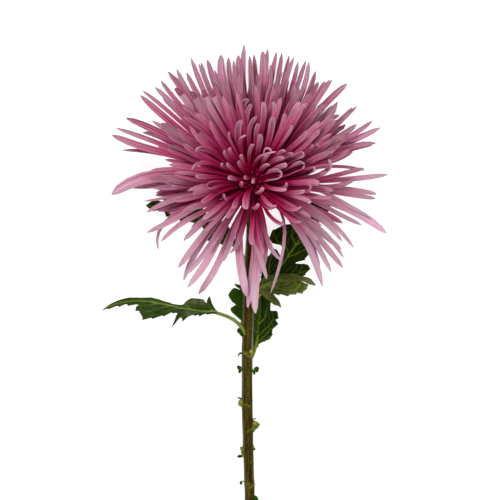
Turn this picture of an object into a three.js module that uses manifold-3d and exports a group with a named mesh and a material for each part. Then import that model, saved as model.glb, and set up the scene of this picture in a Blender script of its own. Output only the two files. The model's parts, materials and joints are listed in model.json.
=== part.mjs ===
// Spider chrysanthemum: one cut flower, lying on its back on a level surface.
// It is drawn face on and then laid down: X right, Y along the stem towards the crown of the bloom,
// Z out of the bloom, origin at the heart of the bloom. Millimetres throughout.
import * as THREE from "three";
import { mergeVertices } from "three/addons/utils/BufferGeometryUtils.js";
import Module from "manifold-3d";

const wasm = await Module();
wasm.setup();

// ---- Driving dimensions ----
const GAP = 0.3; // between neighbouring pieces

const HEAD_TILT = 18; // degrees that the bloom's axis leans towards its crown
const REST_PITCH = 3; // degrees that the stem slopes up to the bloom as the flower lies
const LIFT = 25.6; // height of the bloom's heart above the surface
const FOOTPRINT = [-5.2, -48.9]; // middle of the whole flower's footprint, from the heart

const CORE_RADIUS = 11.5; // receptacle and packed floret bases that the florets stand out of
const CORE_FRONT = 8.0;
const CORE_BACK = 5.0;
const CORE_SIDES = 14;
const CORE_STEPS = 8;
const CUP_BACK = 7.4; // underside of the green cup below the receptacle
const FLORETS = 208; // florets of the head, in the spiral
const THETA_RIM = 84; // degrees from the axis to the last floret of the spiral
const GOLDEN_ANGLE = 137.508;
const ROOT_DEPTH = 5.0; // distance from the heart at which the florets start, inside the core
const SHORTEST = 13.0; // length of the youngest floret
const LONGEST = 62.0; // length of the oldest floret of the spiral
const QUILL_HALF_WIDTH = 1.15; // of a floret at its widest
const QUILL_DEPTH = 1.2;
const RIM_ARCH = 3.0; // how far the middle of a rim floret stands in front of the head's plane

const STEM_DEPTH = -14.6; // level of the stem's axis behind the heart
const STEM_SIDES = 12;
const STUB_HALF_THICKNESS = 0.5;

const BLADE_EDGE = 0.7; // thickness of a leaf at its margin
const BLADE_RIB = 1.5; // and along its midrib, at the base
const STALK_SIDES = 6;
const STALK_STEPS = 6;

// ---- Helpers ----
const radians = THREE.MathUtils.degToRad;
const V = (x, y, z) => new THREE.Vector3(x, y, z);
const mix = THREE.MathUtils.lerp;

// A repeatable draw from 0 to 1 for piece i, of kind k.
function chance(i, k) {
  const v = Math.sin(i * 12.9898 + k * 78.233) * 43758.5453;
  return v - Math.floor(v);
}
const spread = (i, k, size) => (chance(i, k) - 0.5) * 2 * size;

// Height, in the face-on frame, of the surface below a point.
const surfaceUnder = (y) =>
  -(LIFT + y * Math.sin(radians(REST_PITCH))) / Math.cos(radians(REST_PITCH));

// Lifts a point smoothly clear of the surface.
function keepAbove(p, clearance) {
  const low = surfaceUnder(p.y) + clearance;
  const d = p.z - low;
  p.z = low + 0.5 * (d + Math.sqrt(d * d + 0.25));
  return p;
}

// Points of a ring of `sides`, `wide` along `side` and `high` along `over`.
function ringAt(middle, side, over, wide, high, sides) {
  const ring = [];
  for (let s = 0; s < sides; s++) {
    const a = (s / sides) * 2 * Math.PI;
    const p = middle.clone().addScaledVector(side, Math.cos(a) * wide);
    ring.push(p.addScaledVector(over, Math.sin(a) * high));
  }
  return ring;
}

// Closed skin over a row of rings with the same number of points; each end closes in a fan,
// round the point given for it or round the ring's middle.
function skin(rings, tip) {
  const sides = rings[0].length;
  const points = rings.flat();
  const first = points.length;
  const middle = (ring) =>
    ring.reduce((sum, p) => sum.add(p), V(0, 0, 0)).divideScalar(sides);
  points.push(middle(rings[0]), tip ?? middle(rings[rings.length - 1]));
  const faces = [];
  for (let r = 0; r + 1 < rings.length; r++)
    for (let s = 0; s < sides; s++) {
      const a = r * sides + s;
      const b = r * sides + ((s + 1) % sides);
      faces.push(a, b, b + sides, a, b + sides, a + sides);
    }
  const last = (rings.length - 1) * sides;
  for (let s = 0; s < sides; s++) {
    const t = (s + 1) % sides;
    faces.push(first, t, s, first + 1, last + s, last + t);
  }
  return new THREE.BufferGeometry().setFromPoints(points).setIndex(faces);
}

function solid(geometry) {
  const bare = new THREE.BufferGeometry().setAttribute("position", geometry.getAttribute("position"));
  if (geometry.index) bare.setIndex(geometry.index);
  const merged = mergeVertices(bare, 1e-4);
  const made = new wasm.Manifold(
    new wasm.Mesh({
      numProp: 3,
      vertProperties: new Float32Array(merged.attributes.position.array),
      triVerts: new Uint32Array(merged.index.array),
    }),
  );
  return made;
}

function joined(solids) {
  let row = solids;
  while (row.length > 1) {
    const next = [];
    for (let i = 0; i < row.length; i += 2) next.push(i + 1 < row.length ? row[i].add(row[i + 1]) : row[i]);
    row = next;
  }
  return row[0];
}

// The one body of a fused piece: hollows that the fusing sealed are filled, and loose scraps are dropped.
const oneBody = (made) =>
  made.decompose().reduce((best, body) => (body.volume() > best.volume() ? body : best));

function meshOf(name, made, look) {
  const m = made.getMesh();
  const places = new Float32Array(m.numVert * 3);
  for (let i = 0; i < m.numVert; i++)
    places.set(m.vertProperties.subarray(i * m.numProp, i * m.numProp + 3), i * 3);
  const geometry = new THREE.BufferGeometry()
    .setAttribute("position", new THREE.BufferAttribute(places, 3))
    .setIndex(new THREE.BufferAttribute(m.triVerts, 1));
  geometry.computeVertexNormals();
  const mesh = new THREE.Mesh(geometry, look);
  mesh.name = name;
  return mesh;
}

// Half-space below the surface that the flower lies on: trimming by it leaves small flat spots.
function belowSurface() {
  const slab = new THREE.BoxGeometry(400, 600, 40);
  slab.translate(0, 0, -20);
  slab.rotateX(radians(-REST_PITCH));
  slab.translate(0, 0, surfaceUnder(0));
  return solid(slab);
}

// ---- Materials ----
const petalPink = new THREE.MeshStandardMaterial({ color: 0xb9688f, roughness: 0.6, metalness: 0 });
const leafGreen = new THREE.MeshStandardMaterial({ color: 0x2f4a14, roughness: 0.55, metalness: 0 });
const stemBrown = new THREE.MeshStandardMaterial({ color: 0x4a4416, roughness: 0.6, metalness: 0 });
const bractGreen = new THREE.MeshStandardMaterial({ color: 0x45591f, roughness: 0.6, metalness: 0 });

// ---- Head: directions round the bloom's axis ----
const axis = V(0, Math.sin(radians(HEAD_TILT)), Math.cos(radians(HEAD_TILT)));
const headRight = V(1, 0, 0);
const headUp = axis.clone().cross(headRight);

const outward = (clock) =>
  headRight.clone().multiplyScalar(Math.cos(radians(clock)))
    .addScaledVector(headUp, Math.sin(radians(clock)));

// Direction at `lean` degrees from the axis, at `clock` degrees round it, anticlockwise from the right.
const headDirection = (lean, clock) =>
  outward(clock).multiplyScalar(Math.sin(radians(lean)))
    .addScaledVector(axis, Math.cos(radians(lean)));

// ---- Florets ----
// A floret is a quill along a curve: root, bow and tip, with its half width.
function quill({ root, bow, tip, halfWidth, roll }) {
  const line = new THREE.QuadraticBezierCurve3(root, bow, tip);
  const clock = Math.atan2(bow.dot(headUp), bow.dot(headRight));
  const across = axis.clone().cross(outward(THREE.MathUtils.radToDeg(clock)));
  const stations = [
    [0.0, 0.25],
    [0.45, 0.75],
    [0.9, 1.0],
  ];
  const rings = stations.map(([t, share]) => {
    const p = keepAbove(line.getPoint(t), 0.3);
    const along = line.getTangent(t);
    const side = across.clone().addScaledVector(along, -across.dot(along)).normalize();
    const face = along.clone().cross(side);
    const s = side.clone().multiplyScalar(Math.cos(radians(roll)))
      .addScaledVector(face, Math.sin(radians(roll)));
    const f = along.clone().cross(s);
    const w = halfWidth * share;
    const d = QUILL_DEPTH * mix(1, 0.55, t) * Math.min(1, share * 1.6);
    return [
      p.clone().addScaledVector(s, w).addScaledVector(f, d * 0.35),
      p.clone().addScaledVector(s, -w).addScaledVector(f, d * 0.35),
      p.clone().addScaledVector(f, -d * 0.65),
    ];
  });
  return skin(rings, keepAbove(tip.clone(), -0.5));
}

// The spiral of the head: young, short and curling in at the eye, long and nearly straight at the rim.
function spiralFloret(i) {
  const age = (i + 0.5) / FLORETS;
  const clock = i * GOLDEN_ANGLE + spread(i, 1, 4);
  const lean = THREE.MathUtils.radToDeg(Math.acos(1 - age * (1 - Math.cos(radians(THETA_RIM)))));
  const crownward = Math.sin(radians(clock));
  const reach = (0.84 + 0.16 * crownward) * (1 + spread(i, 2, 0.1));
  const length = SHORTEST + (LONGEST - SHORTEST) * reach * age ** 0.6;
  const curl = mix(9, 4, age) + spread(i, 3, 8);
  const swing = spread(i, 4, 7);
  return {
    root: headDirection(lean * 0.9, clock).multiplyScalar(ROOT_DEPTH),
    bow: headDirection(lean + 7, clock).multiplyScalar(length * 0.55),
    tip: headDirection(lean - curl, clock + swing).multiplyScalar(length),
    halfWidth: QUILL_HALF_WIDTH * (1 + spread(i, 5, 0.2)) * mix(0.8, 1.1, age),
    roll: spread(i, 6, 35),
  };
}

// Rim florets, which make the outline: right and up of the tip and of the middle, both from the heart,
// how far the tip drops behind the head's plane, and the half width.
const RIM = [
  [-71.8, -4.2, -36.0, 4.2, 3, 3.3],
  [-62.0, -2.2, -32.0, 2.0, 5, 1.5],
  [-71.5, 25.0, -36.0, 13.5, 6, 2.0],
  [-68.5, 27.0, -34.5, 15.0, 3, 1.3],
  [-67.0, 18.2, -33.5, 12.0, 8, 1.2],
  [-63.5, 33.0, -32.0, 17.5, 4, 1.9],
  [-57.2, 27.5, -33.0, 15.0, 8, 1.4],
  [-50.8, 31.2, -27.0, 16.0, 2, 1.2],
  [-56.5, 44.5, -31.0, 21.5, 6, 1.7],
  [-55.0, 46.2, -29.5, 24.0, 10, 1.2],
  [-49.0, 48.0, -27.0, 25.0, 3, 1.4],
  [-46.5, 51.8, -25.0, 26.5, 11, 1.4],
  [-42.5, 55.8, -23.0, 28.0, 5, 1.4],
  [-38.2, 56.8, -21.0, 29.0, 12, 1.4],
  [-33.2, 55.5, -19.0, 28.5, 2, 1.5],
  [-31.5, 62.8, -17.5, 31.0, 11, 1.5],
  [-27.5, 59.2, -15.0, 31.0, 2, 1.3],
  [-26.5, 60.8, -14.0, 32.0, 5, 1.3],
  [-24.0, 65.2, -13.5, 33.0, 12, 1.5],
  [-20.0, 58.0, -11.0, 31.0, 1, 1.3],
  [-17.0, 65.8, -9.5, 33.0, 6, 1.5],
  [-13.0, 63.5, -7.5, 32.0, 3, 1.3],
  [-10.2, 60.0, -5.5, 31.0, 1, 1.2],
  [-8.0, 66.0, -4.5, 33.5, 6, 1.4],
  [-4.8, 68.8, -3.0, 35.0, 12, 1.4],
  [-2.2, 64.5, -1.8, 33.0, 4, 1.4],
  [0.0, 65.5, 0.5, 33.5, 11, 1.3],
  [4.5, 68.5, 2.5, 35.5, 3, 2.6],
  [6.8, 66.5, 4.0, 34.0, 11, 1.4],
  [8.5, 60.8, 5.0, 32.0, 2, 1.2],
  [11.2, 65.5, 6.0, 33.5, 12, 1.4],
  [14.0, 66.2, 8.0, 33.0, 5, 1.4],
  [14.5, 58.0, 8.0, 30.0, 1, 1.3],
  [17.2, 62.5, 10.0, 32.0, 12, 1.3],
  [19.8, 62.5, 11.5, 32.0, 5, 1.4],
  [22.0, 61.0, 13.0, 31.5, 12, 1.3],
  [25.5, 60.2, 15.0, 31.5, 7, 1.3],
  [27.2, 60.0, 17.0, 31.5, 4, 1.4],
  [30.2, 55.0, 18.5, 29.5, 12, 1.4],
  [36.0, 53.0, 21.0, 29.0, 5, 1.3],
  [38.5, 53.5, 22.0, 29.5, 12, 1.2],
  [38.8, 51.0, 23.0, 28.0, 4, 1.2],
  [47.0, 51.2, 24.5, 28.0, 11, 1.7],
  [42.0, 41.2, 25.5, 22.0, 3, 1.4],
  [44.2, 37.0, 25.5, 20.0, 6, 1.2],
  [48.5, 37.5, 28.0, 20.5, 9, 1.2],
  [53.0, 41.0, 30.0, 18.5, 6, 1.3],
  [51.5, 30.0, 29.0, 17.0, 2, 1.5],
  [46.0, 29.0, 27.0, 17.0, 5, 1.1],
  [59.0, 31.2, 33.0, 16.5, 5, 1.3],
  [62.0, 26.5, 33.0, 15.5, 8, 1.6],
  [61.5, 21.2, 34.0, 14.5, 3, 1.3],
  [59.0, 19.2, 33.0, 11.5, 10, 1.2],
  [54.5, 6.2, 32.0, 8.2, 8, 0.8],
  [56.0, 8.8, 33.0, 2.5, 1, 1.3],
  [66.0, 3.8, 35.5, 1.5, 5, 1.4],
  [49.5, 1.8, 30.5, -1.5, 1, 1.2],
  [61.5, -4.8, 33.0, -1.5, 7, 1.6],
  [61.5, -7.0, 34.0, -3.5, 10, 1.2],
  [65.5, -25.2, 35.0, -8.0, 7, 2.2],
  [57.5, -17.8, 32.0, -3.0, 5, 1.2],
  [52.0, -21.0, 29.0, -8.0, 12, 1.2],
  [49.5, -31.8, 27.0, -10.5, 6, 1.3],
  [44.2, -24.5, 24.5, -11.0, 2, 1.3],
  [45.5, -41.5, 24.5, -17.5, 9, 1.6],
  [45.0, -36.5, 23.0, -15.0, 4, 1.2],
  [38.5, -43.8, 22.0, -16.5, 7, 1.4],
  [34.5, -50.5, 16.5, -15.0, 4, 2.0],
  [32.5, -43.0, 20.0, -16.0, 8, 1.2],
  [8.0, -54.5, 16.0, -24.0, 8, 0.9],
  [13.5, -38.5, 4.0, -22.0, 1, 1.2],
  [5.8, -47.0, -1.0, -27.0, 2, 1.2],
  [15.0, -20.5, 5.5, -13.0, -6, 1.2],
  [-0.2, -64.5, 1.5, -33.0, 4, 2.2],
  [-3.5, -61.5, -2.0, -32.0, 7, 1.5],
  [-3.2, -56.5, -7.0, -29.0, 2, 2.2],
  [3.0, -45.5, 5.0, -25.5, 8, 1.5],
  [-11.5, -34.0, -5.5, -22.0, -3, 1.2],
  [-28.0, -54.8, -13.0, -28.0, 4, 1.7],
  [-32.5, -52.0, -16.0, -24.0, 2, 1.9],
  [-34.0, -45.5, -17.0, -22.5, 7, 1.4],
  [-36.0, -48.0, -19.5, -20.5, 8, 1.7],
  [-38.0, -41.5, -20.0, -19.0, 3, 1.7],
  [-14.8, -39.0, -8.0, -18.5, -2, 1.5],
  [-23.2, -33.0, -12.5, -16.0, -4, 1.4],
  [-34.5, -28.8, -18.0, -13.0, 0, 1.6],
  [-47.0, -28.2, -24.5, -13.5, 3, 1.3],
  [-52.5, -24.8, -27.0, -10.5, 6, 1.5],
  [-48.0, -33.2, -39.0, -14.5, 12, 0.9],
  [-53.5, -14.2, -28.0, -4.5, 5, 1.5],
  [-54.0, -9.2, -29.5, -3.0, 8, 0.8],
  [-49.5, -3.0, -27.0, -0.5, 3, 1.3],
  [-52.2, 7.0, -27.0, 5.8, 6, 1.2],
  [-44.0, 11.5, -24.0, 10.0, 0, 1.1],
];

function rimFloret([right, up, midRight, midUp, drop, halfWidth], i) {
  const lean = Math.tan(radians(HEAD_TILT));
  const tip = V(right, up, -up * lean - drop);
  const middle = V(midRight, midUp, -midUp * lean - drop * 0.3 + RIM_ARCH);
  const root = middle.clone().setLength(ROOT_DEPTH);
  return {
    root,
    bow: middle.multiplyScalar(2).addScaledVector(root, -0.5).addScaledVector(tip, -0.5),
    tip,
    halfWidth,
    roll: spread(i, 26, 25),
  };
}

// Turned about the bloom's axis: rows are distance from the axis and height along it.
function turned(rows, sides) {
  const shape = new THREE.LatheGeometry(rows.map(([r, h]) => new THREE.Vector2(r, h)), sides);
  shape.rotateX(Math.PI / 2 - radians(HEAD_TILT));
  return solid(shape);
}

// The core, deeper in front than behind: a half ellipse from its back to its front, turned.
function coreSolid(grow = 0) {
  const rows = [];
  for (let k = 0; k <= CORE_STEPS; k++) {
    const a = radians(-90 + (180 * k) / CORE_STEPS);
    const half = a < 0 ? CORE_BACK : CORE_FRONT;
    rows.push([Math.cos(a) * (CORE_RADIUS + grow), Math.sin(a) * (half + grow)]);
  }
  rows[0][0] = rows[CORE_STEPS][0] = 0;
  return turned(rows, CORE_SIDES);
}

function bloom() {
  const florets = [];
  for (let i = 0; i < FLORETS; i++) florets.push(spiralFloret(i));
  RIM.forEach((row, i) => florets.push(rimFloret(row, i)));
  return joined([coreSolid(), ...florets.map((f) => solid(quill(f)))]);
}

// ---- Involucre: the green cup under the head, with two rings of bracts ----
const CUP = [[0, -CUP_BACK], [3.6, -CUP_BACK], [7.6, -6.7], [10.1, -5.4], [11.1, -4.0], [9.4, -2.6], [0, -2.6]];
const CUP_SIDES = 20;
const BRACTS_A_RING = 10;
const BRACT_HALF_THICKNESS = 0.5;
// Along a bract of each ring: distance from the axis, height along it and half width, and then its tip.
const BRACT_RINGS = [
  { stations: [[4.4, -7.2, 0.9], [7.6, -6.9, 1.6], [10.2, -6.2, 1.1]], tip: [11.8, -6.4] },
  { stations: [[6.6, -6.7, 0.9], [9.6, -5.8, 1.5], [11.6, -4.7, 1.0]], tip: [13.0, -4.5] },
];

function bract({ stations, tip }, clock) {
  const out = outward(clock);
  const place = ([r, h]) => out.clone().multiplyScalar(r).addScaledVector(axis, h);
  const side = out.clone().cross(axis);
  const over = out.clone().add(axis).normalize();
  const ring = (row) => ringAt(place(row), side, over, row[2], BRACT_HALF_THICKNESS, 4);
  return solid(skin(stations.map(ring), place(tip)));
}

function involucre() {
  const cup = turned(CUP, CUP_SIDES).subtract(coreSolid(GAP));
  const bracts = BRACT_RINGS.flatMap((plan, ring) =>
    Array.from({ length: BRACTS_A_RING }, (_, i) =>
      bract(plan, (i + ring * 0.5) * (360 / BRACTS_A_RING) + spread(i, 31 + ring, 4)),
    ),
  );
  return joined([cup, ...bracts]);
}

// ---- Stem ----
// Rows down the stem: right, up and level of its axis, and its radius. The neck leaves the cup along the
// bloom's axis and bends round an arc into line with the stem.
const NECK_STEPS = 5;
const NECK_TURN = 90 - HEAD_TILT;
const neckTop = axis.clone().multiplyScalar(-CUP_BACK - GAP);
const neckBend = (neckTop.z - STEM_DEPTH) / (1 - Math.cos(radians(NECK_TURN)));
const neck = [];
for (let k = 0; k <= NECK_STEPS; k++) {
  const share = k / NECK_STEPS;
  const left = radians(NECK_TURN * (1 - share));
  neck.push([
    -0.9 * share,
    neckTop.y - neckBend * (Math.sin(radians(NECK_TURN)) - Math.sin(left)),
    STEM_DEPTH + neckBend * (1 - Math.cos(left)),
    mix(3.3, 2.75, share),
  ]);
}
// Down the stem the radius swells a little at each node, where a leaf stands or stood.
const BELOW_NECK = [
  [-1.2, -24, 2.7],
  [-1.7, -33, 2.7],
  [-2.1, -43, 2.75],
  [-2.4, -51, 2.8],
  [-2.7, -58, 2.75],
  [-2.9, -66, 2.8],
  [-3.1, -72, 2.95],
  [-3.2, -76, 2.75],
  [-3.2, -79.5, 2.9],
  [-3.3, -82.5, 3.1],
  [-3.4, -86, 2.7],
  [-3.4, -94, 2.55],
  [-3.4, -103, 2.55],
  [-3.35, -109, 2.75],
  [-3.3, -114, 2.5],
  [-3.0, -121, 2.65],
  [-2.8, -127, 2.5],
  [-2.8, -133, 2.6],
  [-2.6, -139, 2.4],
  [-2.4, -147, 2.35],
  [-2.3, -150.5, 2.6],
  [-2.2, -154, 2.4],
  [-2.1, -162, 2.4],
  [-2.0, -169, 2.45],
];
const STEM = [...neck, ...BELOW_NECK.map(([x, y, r]) => [x, y, STEM_DEPTH, r])];

function stemBar(grow) {
  const places = STEM.map(([x, y, z]) => V(x, y, z));
  const rings = places.map((p, k) => {
    const next = places[Math.min(k + 1, places.length - 1)];
    const along = next.clone().sub(places[Math.max(k - 1, 0)]).normalize();
    if (k === 0) along.copy(axis).negate();
    const side = along.clone().cross(V(0, 0, 1)).cross(along).normalize();
    const over = along.clone().cross(side);
    const radius = STEM[k][3] + grow;
    return ringAt(p, side, over, radius, radius, STEM_SIDES);
  });
  return solid(skin(rings));
}

// Bumps left by shed leaves and buds: place (right, up, front), size across, along and out.
const SCARS = [
  [-2.0, -81.5, 2.2, 1.4, 1.2, 0.9],
  [-4.5, -80.8, 1.4, 1.1, 1.6, 0.9],
  [-6.2, -109.2, 0.9, 1.5, 1.7, 1.3],
  [0.2, -121.6, 0.7, 1.9, 2.3, 1.5],
  [-5.6, -134, 0.8, 1.4, 2.2, 1.2],
  [-1.6, -132.2, 2.0, 0.9, 0.9, 0.8],
  [-0.3, -149.5, 0.6, 1.0, 1.2, 0.9],
];
// Stubs of stipules and shed stalks: foot and point, both right, up and front of the stem's axis.
const STUBS = [
  [-4.8, -71.6, 0.4, -8.4, -74.6, 1.2, 1.5],
  [-5.2, -92.0, 0.6, -8.3, -92.4, 1.2, 1.3],
  [-5.0, -93.5, 1.0, -7.3, -95.2, 1.8, 1.1],
  [-1.6, -92.6, 0.8, 1.9, -93.8, 1.4, 1.3],
  [-5.6, -85.8, 0.6, -7.7, -84.0, 1.0, 0.8],
  [-6.4, -108.8, 0.9, -8.0, -107.0, 1.3, 0.7],
  [0.6, -120.0, 0.6, 1.3, -117.8, 0.9, 0.7],
  [-6.0, -135.4, 0.8, -8.1, -136.2, 1.0, 0.9],
  [-4.3, -149.4, 0.5, -6.6, -149.9, 0.8, 0.8],
  [-0.4, -156.6, 0.4, 1.8, -157.6, 0.8, 0.8],
];

function knob([x, y, z, across, along, out], grow) {
  const ball = new THREE.IcosahedronGeometry(1, 1);
  ball.scale(across + grow, along + grow, out + grow);
  ball.translate(x, y, STEM_DEPTH + z);
  return solid(ball);
}

// A flat four-sided spike. Its sides move out by more than `grow`, so that its sloping faces clear it too.
function stub([x, y, z, tipX, tipY, tipZ, wide], grow) {
  const foot = V(x, y, STEM_DEPTH + z);
  const tip = V(tipX, tipY, STEM_DEPTH + tipZ);
  const along = tip.clone().sub(foot).normalize();
  const side = along.clone().cross(V(0, 0, 1)).normalize();
  const face = along.clone().cross(side);
  const ring = (p, w) => ringAt(p, side, face, w + 1.4 * grow, STUB_HALF_THICKNESS + 1.4 * grow, 4);
  const rings = [ring(foot, wide * 0.8), ring(foot.clone().lerp(tip, 0.6), wide)];
  return solid(skin(rings, tip.clone().addScaledVector(along, 2 * grow)));
}

const stem = (grow = 0) =>
  joined([stemBar(grow), ...SCARS.map((row) => knob(row, grow)), ...STUBS.map((row) => stub(row, grow))]);

// ---- Leaves ----
// A leaf has a stalk and a midrib, both as Bezier control points, and rows along the midrib: the share
// of it that a vein leaves from, and the margin points (right, up) that the vein runs to on both sides.
// `fold` is how far each half comes forward per millimetre out from the midrib.
const LEAVES = {
  leaf_left: {
    stalk: [[-5.2, -76.0, -15.0], [-8.0, -67.5, -13.6], [-13.0, -66.0, -12.4], [-22.0, -63.7, -12.0]],
    rib: [[-18.5, -64.0, -12.2], [-38.0, -64.5, -10.6], [-56.0, -52.0, -11.5], [-76.3, -63.0, -15.0]],
    fold: [1.5, -1.3],
    rows: [
      [0.0, [-19.0, -65.0], [-19.3, -63.0]],
      [0.05, [-23.5, -65.6], [-20.7, -59.7]],
      [0.1, [-28.5, -66.4], [-22.6, -56.5]],
      [0.15, [-32.0, -66.2], [-24.0, -59.0]],
      [0.2, [-35.8, -68.6], [-27.0, -58.3]],
      [0.24, [-37.0, -66.6], [-30.7, -57.9]],
      [0.28, [-41.0, -71.6], [-33.4, -58.4]],
      [0.32, [-38.4, -65.7], [-36.5, -61.0]],
      [0.37, [-40.8, -65.0], [-39.0, -60.8]],
      [0.43, [-45.4, -66.5], [-41.6, -60.0]],
      [0.49, [-50.8, -67.6], [-44.5, -59.4]],
      [0.55, [-55.7, -67.8], [-47.0, -58.6]],
      [0.59, [-57.2, -64.6], [-49.5, -57.7]],
      [0.63, [-59.4, -63.2], [-52.0, -57.2]],
      [0.68, [-57.8, -61.6], [-56.0, -57.0]],
      [0.75, [-63.2, -61.0], [-60.5, -57.0]],
      [0.84, [-68.0, -62.0], [-68.0, -58.0]],
      [0.93, [-73.0, -62.8], [-72.5, -59.8]],
      [1.0],
    ],
  },
  leaf_right_upper: {
    stalk: [[-0.4, -58.5, -16.6], [2.0, -56.6, -17.0], [4.5, -54.0, -17.4], [9.5, -47.0, -17.2]],
    rib: [[6.0, -50.5, -17.4], [16.0, -40.0, -16.8], [24.0, -24.0, -15.0], [39.0, -6.5, -16.0]],
    fold: [0.12, 0.12],
    rows: [
      [0.0, [4.5, -50.5], [7.5, -51.5]],
      [0.05, [3.2, -46.5], [11.0, -51.5]],
      [0.1, [4.0, -43.0], [16.5, -50.0]],
      [0.15, [5.4, -39.2], [21.5, -48.5]],
      [0.2, [7.0, -36.0], [26.0, -45.5]],
      [0.25, [9.8, -32.2], [28.5, -42.5]],
      [0.3, [11.5, -33.0], [27.2, -40.5]],
      [0.34, [11.9, -36.5], [20.8, -41.8]],
      [0.39, [15.0, -33.5], [21.0, -39.8]],
      [0.44, [12.5, -29.5], [25.8, -38.0]],
      [0.49, [8.8, -29.0], [28.0, -35.0]],
      [0.54, [7.5, -26.5], [31.5, -33.0]],
      [0.6, [9.5, -22.8], [33.7, -29.4]],
      [0.68, [15.5, -20.0], [35.6, -24.0]],
      [0.76, [21.5, -19.0], [32.0, -21.0]],
      [0.84, [24.5, -12.5], [35.5, -16.5]],
      [0.92, [30.0, -8.0], [38.5, -12.5]],
      [1.0],
    ],
  },
  leaf_right_mid: {
    stalk: [[-0.6, -55.0, -13.8], [1.0, -54.4, -12.6], [2.6, -53.6, -11.0], [5.5, -51.8, -9.8]],
    rib: [[3.5, -53.0, -10.4], [10.0, -46.0, -8.6], [20.0, -45.0, -7.6], [31.0, -50.8, -8.0]],
    fold: [-0.7, 0.8],
    rows: [
      [0.0, [2.2, -52.2], [2.8, -54.5]],
      [0.04, [2.8, -50.0], [8.0, -59.0]],
      [0.07, [3.5, -48.0], [13.8, -61.9]],
      [0.11, [4.5, -46.5], [12.5, -57.5]],
      [0.16, [6.5, -45.6], [8.4, -54.9]],
      [0.22, [9.0, -45.2], [12.5, -55.5]],
      [0.28, [11.5, -44.9], [17.0, -56.0]],
      [0.34, [14.0, -44.7], [21.0, -55.1]],
      [0.39, [16.0, -44.7], [24.2, -54.8]],
      [0.43, [17.5, -44.8], [26.2, -52.3]],
      [0.47, [19.0, -45.0], [26.9, -50.7]],
      [0.51, [20.5, -45.2], [25.0, -49.6]],
      [0.56, [22.0, -45.5], [20.5, -50.0]],
      [0.68, [25.0, -46.1], [25.3, -48.6]],
      [0.85, [28.5, -47.3], [28.5, -50.0]],
      [1.0],
    ],
  },
  leaf_low: {
    stalk: [[-1.4, -85.0, -17.8], [0.3, -82.0, -19.4], [1.2, -80.0, -19.9], [2.0, -75.0, -20.2]],
    rib: [[1.5, -79.5, -20.0], [2.6, -70.0, -20.6], [4.6, -62.0, -21.0], [5.0, -50.0, -21.4]],
    fold: [-0.05, 0.03],
    rows: [
      [0.0, [0.6, -80.5], [1.9, -81.7]],
      [0.06, [-1.5, -76.0], [3.4, -79.5]],
      [0.12, [-4.0, -71.0], [5.9, -78.9]],
      [0.18, [-6.5, -67.5], [8.2, -77.8]],
      [0.24, [-9.5, -65.6], [9.6, -75.5]],
      [0.3, [-11.8, -63.5], [9.4, -73.5]],
      [0.35, [-11.5, -62.0], [12.4, -70.1]],
      [0.4, [-9.2, -60.4], [11.0, -68.2]],
      [0.45, [-11.5, -58.5], [12.7, -67.2]],
      [0.51, [-13.0, -55.5], [11.8, -63.8]],
      [0.58, [-10.3, -52.2], [8.8, -63.7]],
      [0.66, [-7.6, -53.6], [8.5, -60.8]],
      [0.74, [-5.5, -54.5], [10.0, -57.0]],
      [0.85, [-2.5, -51.0], [9.0, -53.5]],
      [1.0],
    ],
  },
  leaf_left_back: {
    stalk: [[-3.5, -40.0, -17.2], [-5.5, -35.5, -18.4], [-7.5, -32.5, -19.2], [-13.0, -28.5, -19.9]],
    rib: [[-9.5, -31.0, -19.6], [-24.0, -22.0, -20.8], [-36.0, -12.0, -21.0], [-54.5, -10.5, -20.0]],
    fold: [0.1, 0.06],
    rows: [
      [0.0, [-10.0, -31.0], [-8.5, -30.0]],
      [0.07, [-14.0, -31.5], [-10.5, -24.5]],
      [0.13, [-18.5, -29.5], [-14.0, -19.0]],
      [0.18, [-23.5, -28.3], [-17.0, -18.0]],
      [0.24, [-25.0, -25.0], [-19.0, -21.0]],
      [0.31, [-26.0, -21.5], [-22.5, -16.0]],
      [0.38, [-30.0, -18.8], [-27.5, -9.5]],
      [0.44, [-34.5, -18.5], [-32.0, -8.0]],
      [0.5, [-37.5, -18.3], [-32.0, -12.0]],
      [0.58, [-38.5, -17.0], [-36.0, -9.0]],
      [0.66, [-41.5, -17.5], [-41.5, -4.5]],
      [0.74, [-44.5, -16.0], [-46.0, -5.0]],
      [0.82, [-46.0, -13.0], [-45.5, -8.0]],
      [0.91, [-51.5, -13.5], [-50.5, -7.5]],
      [1.0],
    ],
  },
};

const bezier = (points) => new THREE.CubicBezierCurve3(...points.map((p) => V(...p)));

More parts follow.
